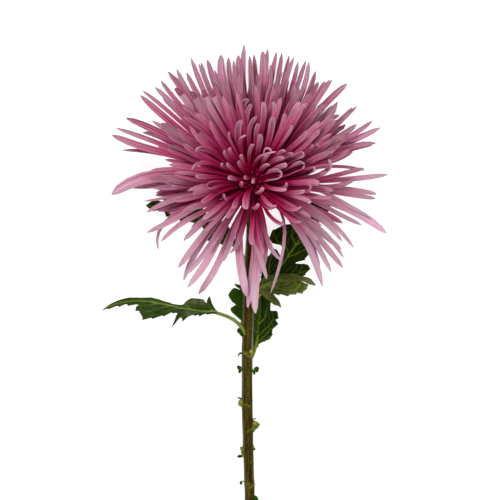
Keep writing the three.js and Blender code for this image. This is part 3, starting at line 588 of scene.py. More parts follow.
# %% The florets of the rim
# Right and up of the tip and of the middle, both from the heart, how far the tip drops behind the head's
# plane, and the half width. A seventh number turns the end aside, as a share of the floret's length.
RIM = [
    (-71.8, -4.2, -36.0, 4.2, 3, 3.3),
    (-62.0, -2.2, -32.0, 2.0, 5, 1.5),
    (-71.5, 25.0, -36.0, 13.5, 6, 2.0),
    (-68.5, 27.0, -34.5, 15.0, 3, 1.3),
    (-67.0, 18.2, -33.5, 12.0, 8, 1.2),
    (-64.3, 33.6, -32.0, 17.5, 4, 1.9),
    (-57.2, 27.5, -33.0, 15.0, 8, 1.4),
    (-50.8, 31.2, -27.0, 16.0, 2, 1.2),
    (-58.0, 46.5, -31.0, 22.5, 6, 1.7),
    (-56.4, 47.6, -29.5, 24.5, 10, 1.2),
    (-50.0, 49.4, -27.0, 25.5, 3, 1.4),
    (-46.0, 44.0, -26.0, 23.0, 6, 1.6),
    (-48.2, 55.0, -25.5, 27.5, 11, 1.4),
    (-43.2, 56.8, -23.0, 28.5, 5, 1.6),
    (-40.2, 54.0, -22.0, 28.0, 8, 1.5),
    (-38.8, 57.8, -21.0, 29.5, 12, 1.4),
    (-34.4, 58.2, -19.0, 29.5, 2, 1.5),
    (-31.5, 62.8, -17.5, 31.0, 11, 1.5),
    (-27.5, 59.2, -15.0, 31.0, 2, 1.3),
    (-26.5, 60.8, -14.0, 32.0, 5, 1.3),
    (-24.0, 65.2, -13.5, 33.0, 12, 1.5),
    (-20.0, 58.0, -11.0, 31.0, 1, 1.3),
    (-17.0, 67.8, -10.0, 34.0, 4, 2.2),
    (-13.0, 65.0, -7.5, 33.0, 3, 1.6),
    (-10.2, 62.0, -5.5, 32.0, 1, 1.3),
    (-8.0, 67.5, -4.5, 34.5, 5, 1.7),
    (-4.8, 68.8, -3.0, 35.0, 12, 1.4),
    (-2.2, 64.5, -1.8, 33.0, 4, 1.4),
    (0.0, 65.5, 0.5, 33.5, 11, 1.3),
    (4.5, 68.5, 2.5, 35.5, 3, 2.6),
    (6.8, 66.5, 4.0, 34.0, 11, 1.4),
    (8.5, 60.8, 5.0, 32.0, 2, 1.2),
    (11.2, 65.5, 6.0, 33.5, 12, 1.4),
    (14.0, 66.2, 8.0, 33.0, 5, 1.4),
    (14.5, 58.0, 8.0, 30.0, 1, 1.3),
    (17.2, 62.5, 10.0, 32.0, 12, 1.3),
    (19.8, 62.5, 11.5, 32.0, 5, 1.4),
    (22.0, 61.0, 13.0, 31.5, 12, 1.3),
    (25.5, 60.2, 15.0, 31.5, 7, 1.3),
    (27.2, 60.0, 17.0, 31.5, 4, 1.4),
    (30.2, 55.0, 18.5, 29.5, 12, 1.4),
    (32.9, 52.5, 19.5, 28.5, 9, 1.6),
    (36.0, 53.0, 21.0, 29.0, 5, 1.3),
    (38.5, 53.5, 22.0, 29.5, 12, 1.2),
    (38.8, 51.0, 23.0, 28.0, 4, 1.2),
    (47.0, 51.2, 24.5, 28.0, 11, 1.7),
    (42.0, 41.2, 25.5, 22.0, 3, 1.4),
    (44.2, 37.0, 25.5, 20.0, 6, 1.2),
    (48.5, 37.5, 28.0, 20.5, 9, 1.2),
    (53.0, 41.0, 30.0, 18.5, 6, 1.3),
    (51.5, 30.0, 29.0, 17.0, 2, 1.5),
    (46.0, 29.0, 27.0, 17.0, 5, 1.1),
    (59.0, 31.2, 33.0, 16.5, 5, 1.3),
    (62.0, 26.5, 33.0, 15.5, 8, 1.6),
    (61.5, 21.2, 34.0, 14.5, 3, 1.3),
    (59.0, 19.2, 33.0, 11.5, 10, 1.2),
    (54.5, 6.2, 32.0, 8.2, 8, 0.8),
    (56.0, 8.8, 33.0, 2.5, 1, 1.3),
    (66.0, 3.8, 35.5, 1.5, 5, 1.4),
    (49.5, 1.8, 30.5, -1.5, 1, 1.2),
    (61.5, -4.8, 33.0, -1.5, 7, 1.6),
    (61.5, -7.0, 34.0, -3.5, 10, 1.2),
    (65.5, -25.2, 35.0, -8.0, 7, 2.2),
    (57.5, -17.8, 32.0, -3.0, 5, 1.2),
    (52.0, -21.0, 29.0, -8.0, 12, 1.2),
    (49.5, -31.8, 27.0, -10.5, 6, 1.3),
    (44.6, -28.0, 24.5, -12.5, 2, 1.3),
    (43.5, -32.5, 23.5, -14.5, 5, 1.5),
    (45.5, -41.5, 24.5, -17.5, 9, 1.6),
    (45.0, -36.5, 23.0, -15.0, 4, 1.2),
    (38.5, -43.8, 22.0, -16.5, 7, 1.4),
    (34.5, -50.5, 16.5, -15.0, 4, 2.0),
    (32.5, -43.0, 20.0, -16.0, 8, 1.2),
    (8.0, -54.5, 15.2, -21.0, 8, 0.9),
    (9.8, -39.2, 5.0, -22.5, 1, 1.2, 0.097),
    (6.3, -47.2, 0.0, -27.0, -3, 1.2),
    (0.6, -64.5, 2.8, -33.0, 4, 2.1),
    (-3.2, -61.5, 0.2, -32.0, 7, 1.5),
    (-3.8, -56.3, -7.6, -29.0, 2, 2.2),
    (3.0, -45.5, 5.6, -25.5, 8, 1.5),
    (-8.0, -35.5, -5.0, -21.0, -3, 1.2, -0.11),
    (-28.0, -54.8, -13.0, -28.0, 4, 1.7),
    (-32.5, -52.0, -16.0, -24.0, 2, 1.9),
    (-34.0, -45.5, -17.0, -22.5, 7, 1.4),
    (-36.0, -48.0, -19.5, -20.5, 8, 1.7),
    (-38.0, -41.5, -20.0, -19.0, 3, 1.7),
    (-14.8, -39.0, -8.0, -18.5, -2, 1.5),
    (-23.2, -33.0, -12.5, -16.0, -4, 1.4),
    (-34.5, -28.8, -18.0, -13.0, 0, 1.6),
    (-47.0, -28.2, -24.5, -13.5, 3, 1.3),
    (-52.5, -24.8, -27.0, -10.5, 6, 1.5),
    (-48.0, -33.2, -39.0, -14.5, 12, 0.9),
    (-53.5, -14.2, -28.0, -4.5, 5, 1.5),
    (-54.0, -9.2, -29.5, -3.0, 8, 0.8),
    (-49.5, -3.0, -27.0, -0.5, 3, 1.3),
    (-52.2, 7.0, -27.0, 5.8, 6, 1.2),
    (-44.0, 11.5, -24.0, 10.0, 0, 1.1),
    (-31.5, -21.8, -15.0, -10.0, 3, 1.6),
]
print(len(RIM), "florets along the rim")

# %% A rim floret from its row
RIM_ARCH = 3.0  # how far the middle of a rim floret stands in front of the head's plane


def rim_floret(row, i):
    """A floret of the rim from its row."""
    right, up, mid_right, mid_up, drop, half_width, *aside = row
    slope = math.tan(HEAD_TILT)
    tip = Vector((right, up, -up * slope - drop))
    middle = Vector((mid_right, mid_up, -mid_up * slope - drop * 0.3 + RIM_ARCH))
    root, bow = through(middle, tip)
    return {
        "root": root,
        "bow": bow,
        "tip": tip,
        "half_width": half_width,
        "roll": spread(i, RIM_ROLL, 25),
        "age": 1.0,
        "number": FIRST_RIM + i,
        # Paler below the heart and towards the right: partly the florets' own colour, partly painted light on
        # the side that the lamps leave in shade.
        "pale": clamp((0.25 * abs(right) + 0.1 * right - up) / 45),
        "bend": sum(aside),
        "ripe": clamp(0.35 + math.hypot(right, up) / 80),
    }


print("rim florets drop by up to", max(row[4] for row in RIM), "mm")

# %% [markdown]
# ## One floret
#
# Each floret is a petal rolled into a quill: a narrow tube at its foot, flattened and wider towards the
# tip, with two shallow grooves along it. The older ones open at the end into a spoon. A floret could be
# modelled once and copied, but no two bend the same way. So a floret is kept as a line with directions
# and sizes at its points, and a sweep along the line gives it its skin.

# %% The line through a floret
QUILL_DEPTH = 0.72  # half depth of the tube
YOUNG_DEPTH = 0.95  # the same at the eye, where florets are still round
SPOON_DEPTH = 1.3  # the same where the end is a spoon
TABLE_CLEARANCE = 0.3
TIP_CROWDING = 1.4  # above 1, the points of a line crowd towards its tip
HOOK_FROM = 0.7  # share of its length from which a floret bends back or aside
HOOK_OVER = 0.3  # the share that is left
ROLL_AT_FOOT = 0.4  # share of its roll that a floret has at its foot


def write_numbers(mesh, lists):
    """Writes lists of numbers, one to a point, as attributes."""
    for key, values in lists.items():
        mesh.attributes.new(key, "FLOAT", "POINT").data.foreach_set("value", values)


def floret_line(plan, steps):
    """Rows of (along, place, side, face) from root to tip."""
    root, bow, tip = plan["root"], plan["bow"], plan["tip"]
    number = plan["number"]
    clock = math.degrees(math.atan2(bow.dot(HEAD_UP), bow.dot(HEAD_RIGHT)))
    across = AXIS.cross(outward(clock))
    length = (tip - root).length
    hook = plan.get("hook", spread(number, HOOK, 0.07) + mix(0.05, 0.0, plan["age"]))
    wave = spread(number, WAVE, mix(0.02, 0.032, plan["age"]))
    rows = []
    for k in range(steps):
        t = 1 - (1 - k / (steps - 1)) ** TIP_CROWDING
        p = root * (1 - t) ** 2 + bow * 2 * t * (1 - t) + tip * t * t
        along = ((bow - root) * (1 - t) + (tip - bow) * t).normalized()
        side = (across - along * across.dot(along)).normalized()
        face = along.cross(side)
        end = max(0.0, (t - HOOK_FROM) / HOOK_OVER)
        p = p - face * (hook * length * end * end)
        p = p + side * length * (plan["bend"] * end * end + wave * t * math.sin(2 * math.pi * t))
        turn = math.radians(plan["roll"] * (ROLL_AT_FOOT + (1 - ROLL_AT_FOOT) * t))
        rows.append((
            t,
            Vector((p.x, p.y, lifted(p.y, p.z, TABLE_CLEARANCE))),
            side * math.cos(turn) + face * math.sin(turn),
            face * math.cos(turn) - side * math.sin(turn),
        ))
    return rows


# %% Many florets in one mesh
def floret_lines(name, plans, steps):
    """All the lines of some florets as one mesh of edges, with attributes at its points."""
    points, edges = [], []
    sizes, ways = defaultdict(list), defaultdict(list)
    turn = LAID.to_3x3().normalized()
    for plan in plans:
        number, age = plan["number"], plan["age"]
        start = len(points)
        for t, p, side, face in floret_line(plan, steps):
            points.append(LAID @ p)
            sizes["along"].append(t)
            ways["side"].append(turn @ side)
            ways["face"].append(turn @ face)
        edges += [(k, k + 1) for k in range(start, start + steps - 1)]
        cup, mouth = plan.get("cup", 0.0), plan.get("mouth", 0.0)
        depth = mix(mix(YOUNG_DEPTH, QUILL_DEPTH, clamp(age * 4)), SPOON_DEPTH, cup)
        blunt = mix(1.0, 0.6, age) * (1 - 0.4 * chance(number, BLUNTNESS))
        fixed = {
            "half_width": plan["half_width"] * MM,
            "half_depth": depth * (1 + spread(number, DEPTH, 0.2)) * MM,
            "opening": max(cup, clamp(age * 1.3 - 0.4 + spread(number, OPENING, 0.4))),
            "bluntness": max(cup, mouth, blunt),
            "age": age,
            "shade": chance(number, SHADE),
            "pale": plan["pale"],
            "cup": cup,
            "ripe": plan.get("ripe", 1.0),
            "mouth": mouth,
        }
        for key, value in fixed.items():
            sizes[key] += [value] * steps
    mesh = bpy.data.meshes.new(name)
    mesh.from_pydata(points, edges, [])
    write_numbers(mesh, sizes)
    for key, values in ways.items():
        flat = [x for v in values for x in v]
        mesh.attributes.new(key, "FLOAT_VECTOR", "POINT").data.foreach_set("vector", flat)
    return show(name, mesh)


# %% [markdown]
# The sweep is a Geometry Nodes tree. It turns each line into a curve, runs a circle along it, and then
# puts every point of the skin where the floret's own width, depth and opening say. A Curve object with a
# bevel would give round tubes only: it has no way to flatten a tube, groove it or open its tip.

# %% Tools for shape trees
def node_group(name, kind, inputs, outputs):
    """A node group with named inputs and outputs; returns it with the sockets inside it for them."""
    tree = bpy.data.node_groups.new(name, kind)
    for label, (sort, value) in inputs.items():
        socket = tree.interface.new_socket(label, in_out="INPUT", socket_type=f"NodeSocket{sort}")
        if value is not None:
            socket.default_value = value
    for label, sort in outputs.items():
        tree.interface.new_socket(label, in_out="OUTPUT", socket_type=f"NodeSocket{sort}")
    return tree, tree.nodes.new("NodeGroupInput").outputs, tree.nodes.new("NodeGroupOutput").inputs


def shape_tree(name, inputs):
    """A Geometry Nodes tree with named inputs."""
    inputs = {"Geometry": ("Geometry", None), **inputs}
    tree, given, ending = node_group(name, "GeometryNodeTree", inputs, {"Geometry": "Geometry"})
    tree.is_modifier = True
    return tree, given, ending


def close_tree(tree, geometry, finish, ending):
    """Ends a tree: real geometry, smooth faces, one material."""
    real = result(tree, "GeometryNodeRealizeInstances", {0: geometry})
    smooth = result(tree, "GeometryNodeSetShadeSmooth", {0: real})
    plug(tree, result(tree, "GeometryNodeSetMaterial", {0: smooth, 2: finish}), ending["Geometry"])


def plain_mesh(piece):
    """Applies a piece's modifiers: it keeps the plain mesh that they make."""
    graph = bpy.context.evaluated_depsgraph_get()
    made = bpy.data.meshes.new_from_object(
        piece.evaluated_get(graph), preserve_all_data_layers=True, depsgraph=graph)
    made.name = piece.name
    piece.modifiers.clear()
    piece.data = made
    return piece


def run_tree(carrier, tree, **values):
    """Puts the tree on an object, sets its inputs, and keeps the plain mesh that it makes."""
    modifier = carrier.modifiers.new(tree.name, "NODES")
    modifier.node_group = tree
    for item in tree.interface.items_tree:
        key = item.name.lower().replace(" ", "_")
        if item.item_type == "SOCKET" and item.in_out == "INPUT" and key in values:
            modifier[item.identifier] = values[key]
    carrier.update_tag()
    return plain_mesh(carrier)


def triangles(piece):
    """How many triangles a piece has."""
    piece.data.calc_loop_triangles()
    return len(piece.data.loop_triangles)


# %% Short words for shape trees
def read(tree, name, kind="FLOAT"):
    """An attribute of the geometry, by name."""
    return result(tree, "GeometryNodeInputNamedAttribute", {"Name": name}, data_type=kind)


def store(tree, geometry, name, value, kind="FLOAT"):
    """The geometry with a new attribute at its points."""
    wires = {0: geometry, "Name": name, "Value": value}
    return result(tree, "GeometryNodeStoreNamedAttribute", wires, data_type=kind)


def own_place(tree):
    """Where a point is."""
    return result(tree, "GeometryNodeInputPosition")


def moved(tree, spot, way, distance):
    """A place moved along a direction."""
    step = result(tree, "ShaderNodeVectorMath", {0: way, "Scale": distance}, operation="SCALE")
    return result(tree, "ShaderNodeVectorMath", {0: spot, 1: step}, operation="ADD")


def off_the_table(tree, spot):
    """The same place, but never below the table."""
    x, y, z = parts_of(tree, spot)
    return vector(tree, x, y, calc(tree, "MAXIMUM", z, 0.0))


def drawn(tree, low, high, seed):
    """A seeded random number for each copy."""
    wires = {2: low, 3: high, "Seed": seed}
    return place(tree, "FunctionNodeRandomValue", wires, data_type="FLOAT").outputs[1]


def curve_of(tree, value, points):
    """A value through a drawn curve."""
    node = place(tree, "ShaderNodeFloatCurve", {"Value": value})
    line = node.mapping.curves[0].points
    for x, y in points[1:-1]:
        line.new(x, y)
    line[0].location = points[0]
    line[-1].location = points[-1]
    node.mapping.update()
    return node.outputs[0]


# %% The quill sweep
WIDTH_POINTED = [
    (0, 0.35), (0.2, 0.55), (0.4, 0.8), (0.6, 0.97), (0.8, 1.0), (0.9, 0.82), (0.96, 0.54), (1, 0.14),
]
WIDTH_BLUNT = [
    (0, 0.45), (0.2, 0.62), (0.45, 0.86), (0.7, 1.0), (0.88, 1.0), (0.95, 0.88), (0.985, 0.6), (1, 0.22),
]
MOUTH_AT = 0.885  # share of its length at which a tube opens onto its lip
DEPTH_ALONG = [(0, 0.6), (0.2, 1.0), (0.5, 1.0), (0.8, 0.8), (0.93, 0.68), (0.98, 0.4), (1, 0.12)]


def profile_circle(tree, sides):
    """The circle swept along the lines; it carries where it is across and up, from -1 to 1."""
    circle = result(tree, "GeometryNodeCurvePrimitiveCircle", {"Resolution": sides, "Radius": 1.0})
    share = place(tree, "GeometryNodeSplineParameter").outputs["Factor"]
    angle = times(tree, share, 2 * math.pi)
    for label, operation in (("across", "COSINE"), ("upper", "SINE")):
        circle = store(tree, circle, label, calc(tree, operation, angle))
    return circle


def rim_of_spoon(tree, right, along):
    """0 at the bottom of a spoon, 1 on its rim, which runs round the end."""
    end = ramp_from(tree, along, 0.74, 1.0)
    inside = calc(tree, "MULTIPLY_ADD", times(tree, right, right), -1.0, 1.0)
    before = calc(tree, "MULTIPLY_ADD", times(tree, end, end), -1.0, 1.0)
    return calc(tree, "MULTIPLY_ADD", times(tree, inside, before), -1.0, 1.0)


# %% The tree that makes the quills
def quill_tree():
    """Flattened, grooved tubes along lines, which open towards their tips."""
    tree, given, ending = shape_tree("Floret quills", {
        "Sides": ("Int", 8),
        "Groove Depth": ("Float", 0.25),
        "Wall": ("Float", 0.42),
        "Edge Curl": ("Float", 0.45),
        "Spoon Rim": ("Float", 0.65),
        "Wobble": ("Float", 0.2),
        "Finish": ("Material", None),
    })
    line = store(tree, given["Geometry"], "spine", own_place(tree), "FLOAT_VECTOR")
    line = result(tree, "GeometryNodeMeshToCurve", {0: line})
    skin = result(tree, "GeometryNodeCurveToMesh", {
        0: line, 1: profile_circle(tree, given["Sides"]), "Scale": MM, "Fill Caps": True})

    along, shade, cup = read(tree, "along"), read(tree, "shade"), read(tree, "cup")
    right, up = read(tree, "across"), read(tree, "upper")
    half_width, mouth = read(tree, "half_width"), read(tree, "mouth")
    pointed, blunt = curve_of(tree, along, WIDTH_POINTED), curve_of(tree, along, WIDTH_BLUNT)
    outline = blend(tree, read(tree, "bluntness"), pointed, blunt)
    on_floret = vector(tree, times(tree, along, 5.0), times(tree, shade, 90.0))
    uneven = calc(tree, "SUBTRACT", noise(tree, on_floret, 1.0, 2.0), 0.5)
    width = times(tree, half_width, outline, calc(tree, "MULTIPLY_ADD", uneven, given["Wobble"], 1.0))
    depth = times(tree, read(tree, "half_depth"), curve_of(tree, along, DEPTH_ALONG))

    opened = times(tree, read(tree, "opening"), ramp_from(tree, along, 0.35, 0.8))
    lip = times(tree, mouth, ramp_from(tree, along, MOUTH_AT - 0.01, MOUTH_AT + 0.01))
    opened = blend(tree, mouth, opened, lip)
    inner = calc(tree, "SUBTRACT", given["Wall"], 1.0)
    upper = times(tree, calc(tree, "MAXIMUM", up, 0.0), blend(tree, opened, 0.8, inner))
    lower = calc(tree, "MINIMUM", up, 0.0)
    grooves = calc(tree, "COSINE", times(tree, right, 2 * math.pi))
    grooves = times(tree, grooves, up, given["Groove Depth"])
    rise = times(tree, depth, calc(tree, "SUBTRACT", calc(tree, "ADD", upper, lower), grooves))
    curl = times(tree, right, right, given["Edge Curl"], opened, width)
    spoon = times(tree, cup, half_width, given["Spoon Rim"])
    spoon = times(tree, spoon, ramp_from(tree, along, 0.3, 0.7), rim_of_spoon(tree, right, along))
    rise = calc(tree, "ADD", rise, calc(tree, "ADD", curl, spoon))

    spine, side, face = (read(tree, name, "FLOAT_VECTOR") for name in ("spine", "side", "face"))
    spot = moved(tree, spine, side, times(tree, right, width))
    spot = off_the_table(tree, moved(tree, spot, face, rise))
    skin = result(tree, "GeometryNodeSetPosition", {0: skin, "Position": spot})
    for spare in ("spine", "side", "face", "half_width", "half_depth", "bluntness"):
        skin = result(tree, "GeometryNodeRemoveAttribute", {0: skin, "Name": spare})
    close_tree(tree, skin, given["Finish"], ending)
    return tree


quills = quill_tree()
print("quill tree:", len(quills.nodes), "nodes")

# %% [markdown]
# ## The colour of the florets
#
# A floret is deep crimson at its foot, mauve pink along its length and pale at its tip, and the old
# florets at the rim are the palest. Fine veins run along it. The near black at the very foot is painted
# shade of the crowded middle of the bloom, the darker middle of an open floret is painted shade in its
# channel, and its lighter edges are painted highlights. The florets below the heart, and those on the
# right of the rim, are painted paler: partly their own colour, partly painted light on the side that the
# lamps leave in shade. All of that follows the floret, so the colours read the attributes that the sweep
# carried along, not a place in space. An image would need hundreds of unwrapped strips.

# %% Fibres: a shared effect
def fibre_group():
    """Streaks that run along Y of the vector it is given."""
    tree, given, ending = node_group(
        "Fibres", "ShaderNodeTree",
        {"Vector": ("Vector", (0, 0, 0)), "Across": ("Float", 10.0), "Along": ("Float", 1.0)},
        {"Fine": "Float", "Broad": "Float"})
    x, y, z = parts_of(tree, given["Vector"])
    x, z = (times(tree, part, given["Across"]) for part in (x, z))
    stretched = vector(tree, x, times(tree, y, given["Along"]), z)
    plug(tree, noise(tree, stretched, 1.0, 3.0), ending["Fine"])
    plug(tree, noise(tree, stretched, 0.3, 1.0), ending["Broad"])
    return tree


fibres = fibre_group()


def streaks(tree, spot, across, along):
    """The fine and the broad fibres of a material."""
    wires = {"Vector": spot, "Across": across, "Along": along}
    return place(tree, "ShaderNodeGroup", wires, node_tree=fibres).outputs


def mix_colour(tree, share, first, second, kind="MIX"):
    """A colour between two others, or another way of mixing them."""
    wires = {"Factor": share, 6: first, 7: second}
    return place(tree, "ShaderNodeMix", wires, data_type="RGBA", blend_type=kind).outputs[2]


def darkened(tree, colour, by):
    """A colour multiplied by another."""
    return mix_colour(tree, 1.0, colour, by, "MULTIPLY")


def colour_ramp(tree, value, stops):
    """A colour ramp; the stops are (place, colour)."""
    node = place(tree, "ShaderNodeValToRGB", {0: value})
    elements = node.color_ramp.elements
    while len(elements) < len(stops):
        elements.new(0.5)
    for element, (where, colour) in zip(elements, stops):
        element.position = where
        element.color = (*colour, 1)
    return node.outputs[0]


def mark(tree, name):
    """An attribute of the piece that a material reads."""
    return place(tree, "ShaderNodeAttribute", attribute_name=name).outputs["Fac"]


print("fibres:", len(fibres.nodes), "nodes")

# %% Petal skin
# Near their foot both ramps turn from crimson to near black: the crimson is the florets' own colour, the near
# black is painted shade of the crowded middle of the bloom.
YOUNG = [
    (0.0, (0.16, 0.0006, 0.012)),
    (0.33, (0.39, 0.0028, 0.056)),
    (0.65, (0.53, 0.028, 0.160)),
    (0.87, (0.57, 0.092, 0.222)),
    (1.0, (0.66, 0.26, 0.38)),
]
OLD = [
    (0.0, (0.26, 0.0012, 0.028)),
    (0.34, (0.43, 0.007, 0.086)),
    (0.6, (0.52, 0.052, 0.195)),
    (0.82, (0.48, 0.176, 0.278)),
    (1.0, (0.33, 0.243, 0.25)),
]
PALE = (0.75, 0.44, 0.58, 1)
OLD_PALE = (0.595, 0.37, 0.45, 1)
# Inside a spoon and inside a tube's mouth: the florets' deeper crimson, darkened further as painted shade of
# the hollow.
SPOON_HOLLOW_SHADE = (0.09, 0.001, 0.016, 1)
LIP_INSIDE_SHADE = (0.22, 0.012, 0.062, 1)
PALE_EARLY = 0.25  # how much nearer its foot a pale floret loses its crimson
VEIN_LINES = 9.0  # lines across a floret, in half turns of a wave
VEIN_SHADE = (0.55, 0.24, 0.37, 1)  # what the lines multiply the colour by
# Painted shade: CHANNEL_SHADE darkens the hollow middle of an open floret.
CHANNEL_SHADE = (0.60, 0.25, 0.42, 1)  # the same down the middle of an open floret


def petal_material():
    """Crimson to pink along a floret, with veins, painted shade down its channel and painted highlights
    on its edges.
    """
    made, tree, shader = material("petal_skin", {
        "Roughness": 0.55, "Specular IOR Level": 0.05, "Subsurface Weight": 0.3,
        "Subsurface Radius": (1.0, 0.2, 0.4), "Subsurface Scale": 0.0016})
    along, across = mark(tree, "along"), mark(tree, "across")
    shade, age = mark(tree, "shade"), mark(tree, "age")
    upper, cup = mark(tree, "upper"), mark(tree, "cup")
    pale = mark(tree, "pale")
    early = calc(tree, "MAXIMUM", pale, 0.0)
    early = times(tree, early, calc(tree, "SUBTRACT", 1.0, along), PALE_EARLY)
    ripe = calc(tree, "MULTIPLY_ADD", along, mark(tree, "ripe"), early)
    colour = mix_colour(tree, age, colour_ramp(tree, ripe, YOUNG), colour_ramp(tree, ripe, OLD))

    place_of_petal = calc(tree, "MULTIPLY_ADD", shade, 7.0, upper)
    fine, broad = streaks(tree, vector(tree, across, along, place_of_petal), 9.0, 3.0)
    lines = calc(tree, "COSINE", calc(tree, "MULTIPLY_ADD", across, VEIN_LINES, times(tree, broad, 5.0)))
    lines = calc(tree, "MULTIPLY_ADD", lines, 0.35, fine)
    in_lines = ramp_from(tree, lines, 0.15, 0.7)
    colour = mix_colour(tree, in_lines, darkened(tree, colour, VEIN_SHADE), colour)

    grown = ramp_from(tree, ripe, 0.4, 1.0)
    beside = calc(tree, "ABSOLUTE", across)
    on_face = ramp_from(tree, upper, 0.0, 0.4)
    # Painted shade down the hollow middle of an open floret.
    painted_channel_shade = times(tree, on_face, ramp_from(tree, beside, 0.1, 0.65, 1.0, 0.0))
    painted_channel_shade = times(tree, painted_channel_shade, ramp_from(tree, along, 0.7, 0.97, 0.65, 0.1))
    painted_channel_shade = times(tree, painted_channel_shade, mark(tree, "opening"))
    colour = mix_colour(tree, painted_channel_shade, colour, darkened(tree, colour, CHANNEL_SHADE))
    # Painted highlight: the edges of a floret are lightened towards its pale tint.
    edge = times(tree, ramp_from(tree, beside, 0.6, 1.0), grown, 0.5)
    pale_tint = mix_colour(tree, age, PALE, OLD_PALE)
    colour = mix_colour(tree, edge, colour, pale_tint)
    paleness = calc(tree, "MULTIPLY_ADD", shade, 0.3, pale)
    paleness = times(tree, paleness, grown, 0.85)
    colour = mix_colour(tree, paleness, colour, pale_tint)

    # Painted shade in the hollow of a spoon.
    inside = ramp_from(tree, rim_of_spoon(tree, across, along), 0.15, 0.5, 1.0, 0.0)
    inside = times(tree, inside, cup, on_face)
    colour = mix_colour(tree, inside, colour, SPOON_HOLLOW_SHADE)
    # Painted shade inside the tube, on the narrow lip where it opens.
    on_lip = ramp_from(tree, along, MOUTH_AT - 0.002, MOUTH_AT + 0.002)
    on_lip = times(tree, on_lip, mark(tree, "mouth"), on_face)
    colour = mix_colour(tree, times(tree, on_lip, 0.85), colour, LIP_INSIDE_SHADE)
    plug(tree, colour, shader.inputs["Base Color"])
    emboss(tree, shader, 0.6, 0.0005, lines)
    return made


petal_skin = petal_material()
print("petal skin:", len(petal_skin.node_tree.nodes), "nodes")

# %% Make the florets
BETWEEN = range(110, FLORETS, 2)  # places of the spiral after which one more floret stands


def bare(plan):
    """Whether a floret would end in one of the open parts."""
    right, up, _ = plan["tip"]
    clock = math.degrees(math.atan2(up, right))
    return any(a < clock < b and math.hypot(right, up) > reach for a, b, reach in OPEN_PARTS)


spiral = [spiral_floret(i, i) for i in range(FACE_PLACES, FLORETS)]
spiral += [spiral_floret(i + 0.5, FIRST_BETWEEN + i) for i in BETWEEN]
outer = [p for k, p in enumerate(spiral) if not bare(p) and (p["crownward"] > OPEN_BELOW or k % 4 == 0)]
inner = [face_floret(row, i) for i, row in enumerate(FACE)]
inner += [mouth_floret(row, i) for i, row in enumerate(MOUTHS)]
inner += [eye_floret(i) for i in range(EYE_FLORETS)]
rim = [rim_floret(row, i) for i, row in enumerate(RIM)]
rim += [p for p in map(backing_floret, range(BACKING)) if not bare(p)]

# Plans, points along each floret, and sides; the florets that are looked at closest have the most.
GROUPS = {
    "florets_inner": (inner, 14, 12),
    "florets_outer": (outer, 10, 8),
    "florets_rim": (rim, 10, 8),
}
florets = {}
for name, (plans, steps, sides) in GROUPS.items():
    florets[name] = run_tree(floret_lines(name, plans, steps), quills, sides=sides, finish=petal_skin)
    print(name, len(plans), "florets,", triangles(florets[name]), "triangles")

# %% [markdown]
# ## Shapes turned about the bloom's axis
#
# The receptacle that the florets stand in, and the green cup below it, are both round about the axis of
# the bloom. Turning a profile gives such a shape with few numbers. A squashed ball would do for one of
# them, but not for a cup with a lip.

# %% Turning a profile
HEAD_FRAME = LAID @ Matrix((
    (HEAD_RIGHT.x, HEAD_UP.x, AXIS.x, 0),
    (HEAD_RIGHT.y, HEAD_UP.y, AXIS.y, 0),
    (HEAD_RIGHT.z, HEAD_UP.z, AXIS.z, 0),
    (0, 0, 0, 1),
))
RIB_FADE = 4.0  # nearer to the axis than this, ribs run out


def finished(name, mesh, *finishes):
    """An object at the origin, with its place in its mesh, smooth and in its materials."""
    mesh.polygons.foreach_set("use_smooth", [True] * len(mesh.polygons))
    for finish in finishes:
        mesh.materials.append(finish)
    return show(name, mesh)


def turned(name, profile, sides, ribs=0, rib_height=0.0, frame=HEAD_FRAME):
    """Turns (distance from the axis, height along it) rows, back to front; both ends are on the axis."""
    points = [Vector((0, 0, profile[0][1]))]
    for r, h in profile[1:-1]:
        for s in range(sides):
            a = 2 * math.pi * s / sides
            wide = r + rib_height * math.cos(ribs * a) * min(1, r / RIB_FADE)
            points.append(Vector((wide * math.cos(a), wide * math.sin(a), h)))
    points.append(Vector((0, 0, profile[-1][1])))
    last = len(points) - 1
    faces = [(0, 1 + (s + 1) % sides, 1 + s) for s in range(sides)]
    for ring in range(len(profile) - 3):
        for s in range(sides):
            a, b = 1 + ring * sides + s, 1 + ring * sides + (s + 1) % sides
            faces.append((a, b, b + sides, a + sides))
    top = 1 + (len(profile) - 3) * sides
    faces += [(last, top + s, top + (s + 1) % sides) for s in range(sides)]
    mesh = bpy.data.meshes.new(name)
    mesh.from_pydata([frame @ p for p in points], [], faces)
    return mesh


# %% The receptacle
CORE_RADIUS = 10.8
CORE_FRONT = 7.4
CORE_BACK = 4.4
CORE_STEPS = 24

receptacle_skin, receptacle_tree, receptacle_shader = material("receptacle_skin", {
    "Roughness": 0.8, "Specular IOR Level": 0.1})
grain = result(receptacle_tree, "ShaderNodeTexVoronoi", {
    "Vector": on_object(receptacle_tree), "Scale": 900.0})
# The receptacle is near-black crimson all over: painted shade of the deep gaps between florets, where alone
# it shows.
gap_shade_crimson = colour_ramp(receptacle_tree, grain, [(0.0, (0.14, 0.001, 0.014)), (0.6, (0.05, 0.0005, 0.005))])
plug(receptacle_tree, gap_shade_crimson, receptacle_shader.inputs["Base Color"])
emboss(receptacle_tree, receptacle_shader, 0.8, 0.0006, grain, invert=True)

core_rows = []
for k in range(CORE_STEPS + 1):
    a = math.radians(-90 + 180 * k / CORE_STEPS)
    core_rows.append((math.cos(a) * CORE_RADIUS, math.sin(a) * (CORE_BACK if a < 0 else CORE_FRONT)))
receptacle = finished("receptacle", turned("receptacle", core_rows, 48), receptacle_skin)
print("receptacle", 2 * CORE_RADIUS, "mm across")

